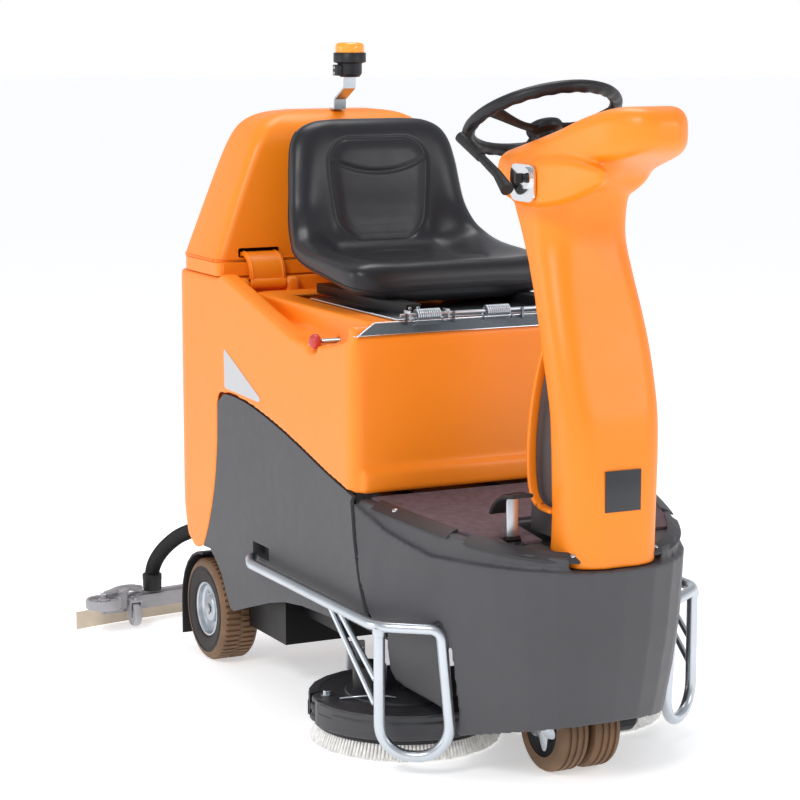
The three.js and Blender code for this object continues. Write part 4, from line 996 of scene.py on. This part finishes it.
def make_seat():
    columns = [catmull([Vector(row[:3]) for row in SEAT_STATIONS], 14),
               catmull([Vector(row[3:]) for row in SEAT_STATIONS], 14)]
    rings, seam = [], [[], []]
    across, under = 140, 44
    for first, second in zip(*columns):
        inner, outer = Vector((0, first.x, first.y)), Vector((0, first.z, second.x))
        half, wing = second.y, max(0.0, second.z)
        middle, thick = (inner + outer) / 2, (inner - outer).length
        normal = (inner - outer).normalized()
        ring = []
        for k in range(across + under):
            on_top = k < across
            a = math.pi * (0.5 - (k / across if on_top else (across + under - k) / under))
            x = half * math.sin(a)
            power = 4.2 - 1.5 * smooth_step(960, 1060, middle.z)
            depth = thick / 2 * (1 - abs(math.sin(a)) ** power) ** (1 / power)
            rise = wing * smooth_step(0.5, 0.9, abs(x) / half) * (1 if on_top else 1.1)
            place = middle + normal * (depth if on_top else -depth)
            if on_top:
                place += normal * seat_relief(x, place.y, place.z)
            place += normal * rise
            ring.append(at(x, place.y, place.z))
        rings.append(ring)
        for path, k in zip(seam, (across + 1, across + under - 1)):
            path.append(ring[k])
    pad = loft("seat_bucket", rings)
    relax = pad.modifiers.new("soft", "SMOOTH")
    relax.factor = 0.4
    relax.iterations = 2
    apply_modifiers(pad)
    shade(pad)
    dress(pad, "vinyl", "seat", "seat_cushion", "seat_backrest", slot="seat_cover")
    welt = seam[0][30:] + list(reversed(seam[1][30:]))
    dress(pipe("seat_seam", welt, 1.3, 8), "soft", "seat")


# Steering wheel


def tilted(x, y, z):
    """A point of the steering wheel's own frame, in the row frame."""
    turn = Matrix.Rotation(-WHEEL_TILT, 3, "X")
    return at(*WHEEL_CENTRE) + turn @ Vector((x, y, z)) / 1000


def make_steering_wheel():
    segments = 160
    rings = []
    for k in range(segments):
        a = 2 * math.pi * k / segments
        out = outward(a)
        ring = []
        for i in range(16):
            t = 2 * math.pi * i / 16
            below = max(0.0, -math.sin(t))
            r = 12.5 - 1.7 * below * (0.5 + 0.5 * math.cos(28 * a))
            p = out * (RIM_RADIUS + r * math.cos(t)) + Vector((0, 0, r * math.sin(t)))
            ring.append(tilted(*p))
        rings.append(ring)
    rings.append(rings[0])
    rim = loft("steering_rim", rings, caps=False)
    dress(rim, "plastic", "steering", "steering_wheel", slot="black_plastic")
    axis = tilted(0, 0, 1) - tilted(0, 0, 0)
    profile = [
        (0, -44), (17, -44), (19, -40), (21, -34), (27, -31), (34, -28), (36, -23), (36, -18), (33, -12),
        (27, -9), (0, -7),
    ]
    hub = turned("steering_hub", profile, tilted(0, 0, 0), axis, 48)
    dress(hub, "plastic", "steering")
    for k, degrees in enumerate((90, 200, 340)):
        out = outward(math.radians(degrees))
        start, end = out * 26, out * (RIM_RADIUS - 2)
        path = [tilted(start.x, start.y, -22), tilted(out.x * 70, out.y * 70, -21), tilted(end.x, end.y, -3)]
        smooth = catmull(path, 10)
        section = [(-15, -2), (-9, -5), (0, -6), (9, -5), (15, -2), (15, 2), (9, 4), (0, 5), (-9, 4),
                   (-15, 2)]
        spoke = swept(f"steering_spoke_{k}", smooth, section, up=axis.normalized(),
                      scale=lambda t: 1.15 - 0.45 * math.sin(math.pi * t))
        dress(spoke, "plastic", "steering")


# Small fittings


def make_hinge():
    y, z = SEAT_HINGE
    pin = pipe("seat_hinge_pin", [at(x, y, z) for x in (-215, 0, 215)], 3.4, 16)
    dress(pin, "zinc", "machine", "hinge_rod", slot="zinc")
    turns, steps = 11, 220
    for k, x in enumerate((-155, 0, 155)):
        wire = []
        for i in range(steps + 1):
            a = 2 * math.pi * turns * i / steps
            wire.append(at(x - 26 + 52 * i / steps, y + 9.4 * math.cos(a), z + 9.4 * math.sin(a)))
        dress(pipe(f"hinge_spring_{k}", wire, 2.1, 8), "zinc", "machine")
        for end, letter in ((-1, "a"), (1, "b")):
            foot = ((26, 9.4, 0), (30, 6, -8), (33, -6, -12))
            leg = catmull([at(x + end * dx, y + dy, z + dz) for dx, dy, dz in foot], 6)
            dress(pipe(f"spring_leg_{k}_{letter}", leg, 1.9, 8), "zinc", "machine")
    carried("hinge_strip", 0.6, "strip", "zinc", crease=30)
    upper = ((-320, 275.5, 825), (-272, 299, 846.5), (0, 299, 846.5), (272, 299, 846.5), (320, 275.5, 825))
    dress(pipe("strip_top_edge", [at(*p) for p in upper], 1.3, 10), "chrome", "machine")
    lower = [at(x, 278.5, 825) for x in (-326, 0, 326)]
    dress(pipe("strip_lower_edge", lower, 1.2, 10), "chrome", "machine")
    plate = box_object("seat_plate_sheet", (-219, 306, 846.8), (219, 716, 849.8), 1)
    dress(plate, "strip", "seat", "seat_plate", slot="black_steel")
    front = [at(-219, 714, 848.5), at(-219, 306.5, 848.5), at(219, 306.5, 848.5), at(219, 714, 848.5)]
    dress(pipe("seat_plate_edge", front, 1.8, 10), "zinc", "seat")
    for side, name in SIDES:
        middle = side * 150
        slide = box_object(f"seat_slide_{name}", (middle - 17, 372, 849), (middle + 17, 800, 870), 2)
        dress(slide, "steel", "seat")
        for k, x in enumerate((side * 195, side * 110)):
            ear = box_object(f"seat_hinge_ear_{name}_{k}", (x - 2, 296, 848), (x + 2, 322, 866), 1)
            dress(ear, "zinc", "seat")
        for k, dx in enumerate((-9, 9)):
            socket_screw(f"slide_screw_{name}_{k}", at(middle + dx, 371.5, 861), (0, -1, 0), 3.6, "seat")


def make_red_knob():
    axis = (-1, 0, 0)
    head = [(0, -1), (12, -1), (14.5, 2), (15, 6), (14.5, 11), (12, 15), (8, 17.5), (0, 18.5)]
    grip = turned("red_knob_head", head, at(-314, *KNOB), axis, 40)
    dress(grip, "red", "knob", "red_knob", slot="red_grip")
    shank = [(0, 0)]
    for k in range(26):
        shank += [(4.2, k * 2.2 + 0.4), (5, k * 2.2 + 1.5)]
    shank += [(4.2, 57.5), (0, 58)]
    dress(turned("red_knob_shank", shank, at(-315, *KNOB) + Vector((0.058, 0, 0)), axis, 24), "zinc", "knob")


def make_pedal():
    x, y, z = PEDAL
    post = box_object("pedal_post", (x - 12, y - 3, z - 4), (x + 12, y + 3, z + 80), 1.2)
    dress(post, "zinc", "pedal", "drive_pedal", slot="black_plastic")
    hub = turned("pedal_hub", [(0, 0), (6, 0), (6, 30), (0, 30)], at(x - 15, y, z), (1, 0, 0), 24)
    dress(hub, "steel", "pedal")
    bend = ((50, 42), (40, 56), (20, 72), (0, 80), (-22, 85), (-41, 88))
    spine = catmull([at(x, y + dy, z + dz) for dy, dz in bend], 6)
    section = [(-22, -1), (-21, 3), (-17, 4.5), (0, 5.5), (17, 4.5), (21, 3), (22, -1), (20, -3.5), (0, -3),
               (-20, -3.5)]
    cap = swept("pedal_cap", spine, section, up=Vector((0, 0.5, 1)).normalized(), crease=40)
    dress(cap, "soft", "pedal")
    for k in range(7):
        s = spine[5 + 3 * k]
        rib = [s + Vector((-0.017, 0, 0.0052)), s + Vector((0, 0, 0.0062)), s + Vector((0.017, 0, 0.0052))]
        dress(pipe(f"pedal_rib_{k}", rib, 1.2, 8), "soft", "pedal")


def make_beacon():
    axis = (0, 0, 1)
    base = [
        (0, 0), (21, 0), (24, 3), (27, 8), (27, 28), (28, 30), (34.5, 31.5), (36, 33), (36, 51.5), (35, 53),
        (0, 53),
    ]
    housing = turned("beacon_housing", base, at(*BEACON), axis, 64)
    dress(housing, "plastic", "lid", "beacon_base", slot="black_plastic")
    lens = [(0, 0), (31.6, 0), (32, 2), (32, 13), (31, 17), (27, 20.5), (20, 21.8), (0, 22)]
    flutes = turned("beacon_dome", lens, at(0, 983, 1353.5), axis, 96, radius=lens_flutes)
    dress(flutes, "amber", "lid", "beacon_lens", slot="amber_lens")
    clamp = box_object("beacon_clamp", (-36, 970, 1303), (-24, 996, 1327), 2.5, 3)
    dress(clamp, "plastic", "lid")
    for k, height in enumerate((1309, 1321)):
        bolt(f"beacon_clamp_screw_{k}", at(-36, 983, height), (-1, 0, 0), 3.6, "lid", height=2.6)


def lens_flutes(r, h, turn):
    return r - 0.5 * (0.5 + 0.5 * math.cos(24 * turn)) if r > 30 else r


def make_squeegee_wheels():
    for side, name in SIDES:
        make_guide_wheel(side, name)
        make_castor(side, name)
        for k, x_knob in enumerate((60, 180, 300)):
            knob = [(0, 0), (5, 0), (5, 8), (11, 9), (12, 11), (12, 18), (10, 20), (0, 21)]
            grip = turned(f"blade_knob_{name}_{k}", knob, spine_point(side * x_knob), (0, 0, 1), 24)
            dress(grip, "soft", "squeegee")


def make_guide_wheel(side, name):
    centre = at(side * GUIDE[0], GUIDE[1], GUIDE[2])
    tyre = [(35, 1), (40, 0), (42.5, 3), (43, 6), (43, 16), (42.5, 19), (40, 22), (35, 21), (34, 18),
            (34, 4), (35, 1)]
    wheel = turned(f"guide_wheel_ring_{name}", tyre, centre, (0, 0, 1), 72)
    dress(wheel, "cast", f"guide_{name}", f"guide_wheel_{name}", slot="cast_grey")
    profile = [(7.6, 1), (13, 1), (14, 3), (14, 20), (12, 22), (7.6, 22), (7.6, 1)]
    hub = turned(f"guide_wheel_hub_{name}", profile, centre, (0, 0, 1), 40)
    dress(hub, "cast", f"guide_{name}")
    for k in range(5):
        out = outward(2 * math.pi * k / 5)
        spoke = [centre + (out * r + Vector((0, 0, 11))) / 1000 for r in (12, 24, 36)]
        section = [(-3, -7), (3, -7), (2.4, 7), (-2.4, 7)]
        dress(swept(f"guide_spoke_{name}_{k}", spoke, section), "cast", f"guide_{name}")
    bolt(f"guide_bolt_{name}", at(side * GUIDE[0], GUIDE[1], 96), (0, 0, 1), 9, "squeegee", height=2.5)
    profile = [(0, 52), (15, 52), (17, 56), (17, 90), (21, 92), (21, 97), (15, 101), (0, 101)]
    knuckle = turned(f"guide_knuckle_{name}", profile, at(side * 404, 1402, 0), (0, 0, 1), 40)
    dress(knuckle, "cast", "squeegee")
    arms = ([(450, 1375, 95), (426, 1388, 97), (404, 1402, 98), (372, 1420, 94), (340, 1440, 84)],
            [(448, 1384, 54), (424, 1400, 55), (398, 1416, 60), (368, 1432, 70), (336, 1446, 70)])
    for k, arm in enumerate(arms):
        path = catmull([at(side * ax, ay, az) for ax, ay, az in arm], 6)
        dress(pipe(f"guide_arm_{name}_{k}", path, 8 - k, 14), "cast", "squeegee")


def make_castor(side, name):
    x, y, z = side * CASTOR[0], CASTOR[1], CASTOR[2]
    rim = [(4.5, 0), (11, 0), (13, 2), (22, 2), (25, 0), (27.5, 3), (28, 7), (28, 11), (27.5, 15), (25, 18),
           (22, 16), (13, 16), (11, 18), (4.5, 18), (4.5, 0)]
    castor = turned(f"castor_wheel_rim_{name}", rim, at(x - 9, y, z), (1, 0, 0), 48)
    dress(castor, "cast", f"castor_{name}", f"castor_wheel_{name}", slot="cast_grey")
    for k, dy in enumerate((-4, 14, 32)):
        place = at(x, y + dy, z + 36)
        bolt(f"castor_plate_bolt_{name}_{k}", place, (0, 0, 1), 5, "squeegee", height=4)


def spine_point(x):
    """Top of the squeegee's cast spine at a distance from the centre plane."""
    return at(x, 1505 - 2080 + math.sqrt(2054 ** 2 - x * x), 75)


def dress_nodes():
    """Finishes for the CAD nodes that keep their shape."""
    looks = {
        "chassis_frame": "steel", "rear_axle": "zinc", "battery_pack_front": "plastic",
        "battery_pack_rear": "plastic", "suction_turbine": "plastic", "column_insert": "grey",
        "key_plate": "chrome", "ignition_key": "plastic", "drive_lever": "soft", "display_panel": "plastic",
        "beacon_strap": "zinc", "drive_fork": "steel", "drive_motor": "steel", "squeegee_bar": "cast",
        "squeegee_blade": "cream", "steering_shaft": "zinc",
    }
    for node, look in looks.items():
        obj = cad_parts[node]
        obj.data.materials.clear()
        obj.data.materials.append(M[look])
        shade(obj, 35)
        softened(obj, 1.2, 2, 35)


place_camera()
make_hose()
light_studio()
make_floor()
make_tank()
make_lid()
carried("recovery_tank", 2.5, "orange", "orange_shell")
make_latches()
make_housing()
make_column()
make_rear_wheels()
make_drive_wheel()
make_side_tubes()
make_deck()
make_brushes()
make_rollers()
make_seat()
make_steering_wheel()
make_hinge()
make_red_knob()
make_pedal()
make_beacon()
make_squeegee_wheels()
dress_nodes()
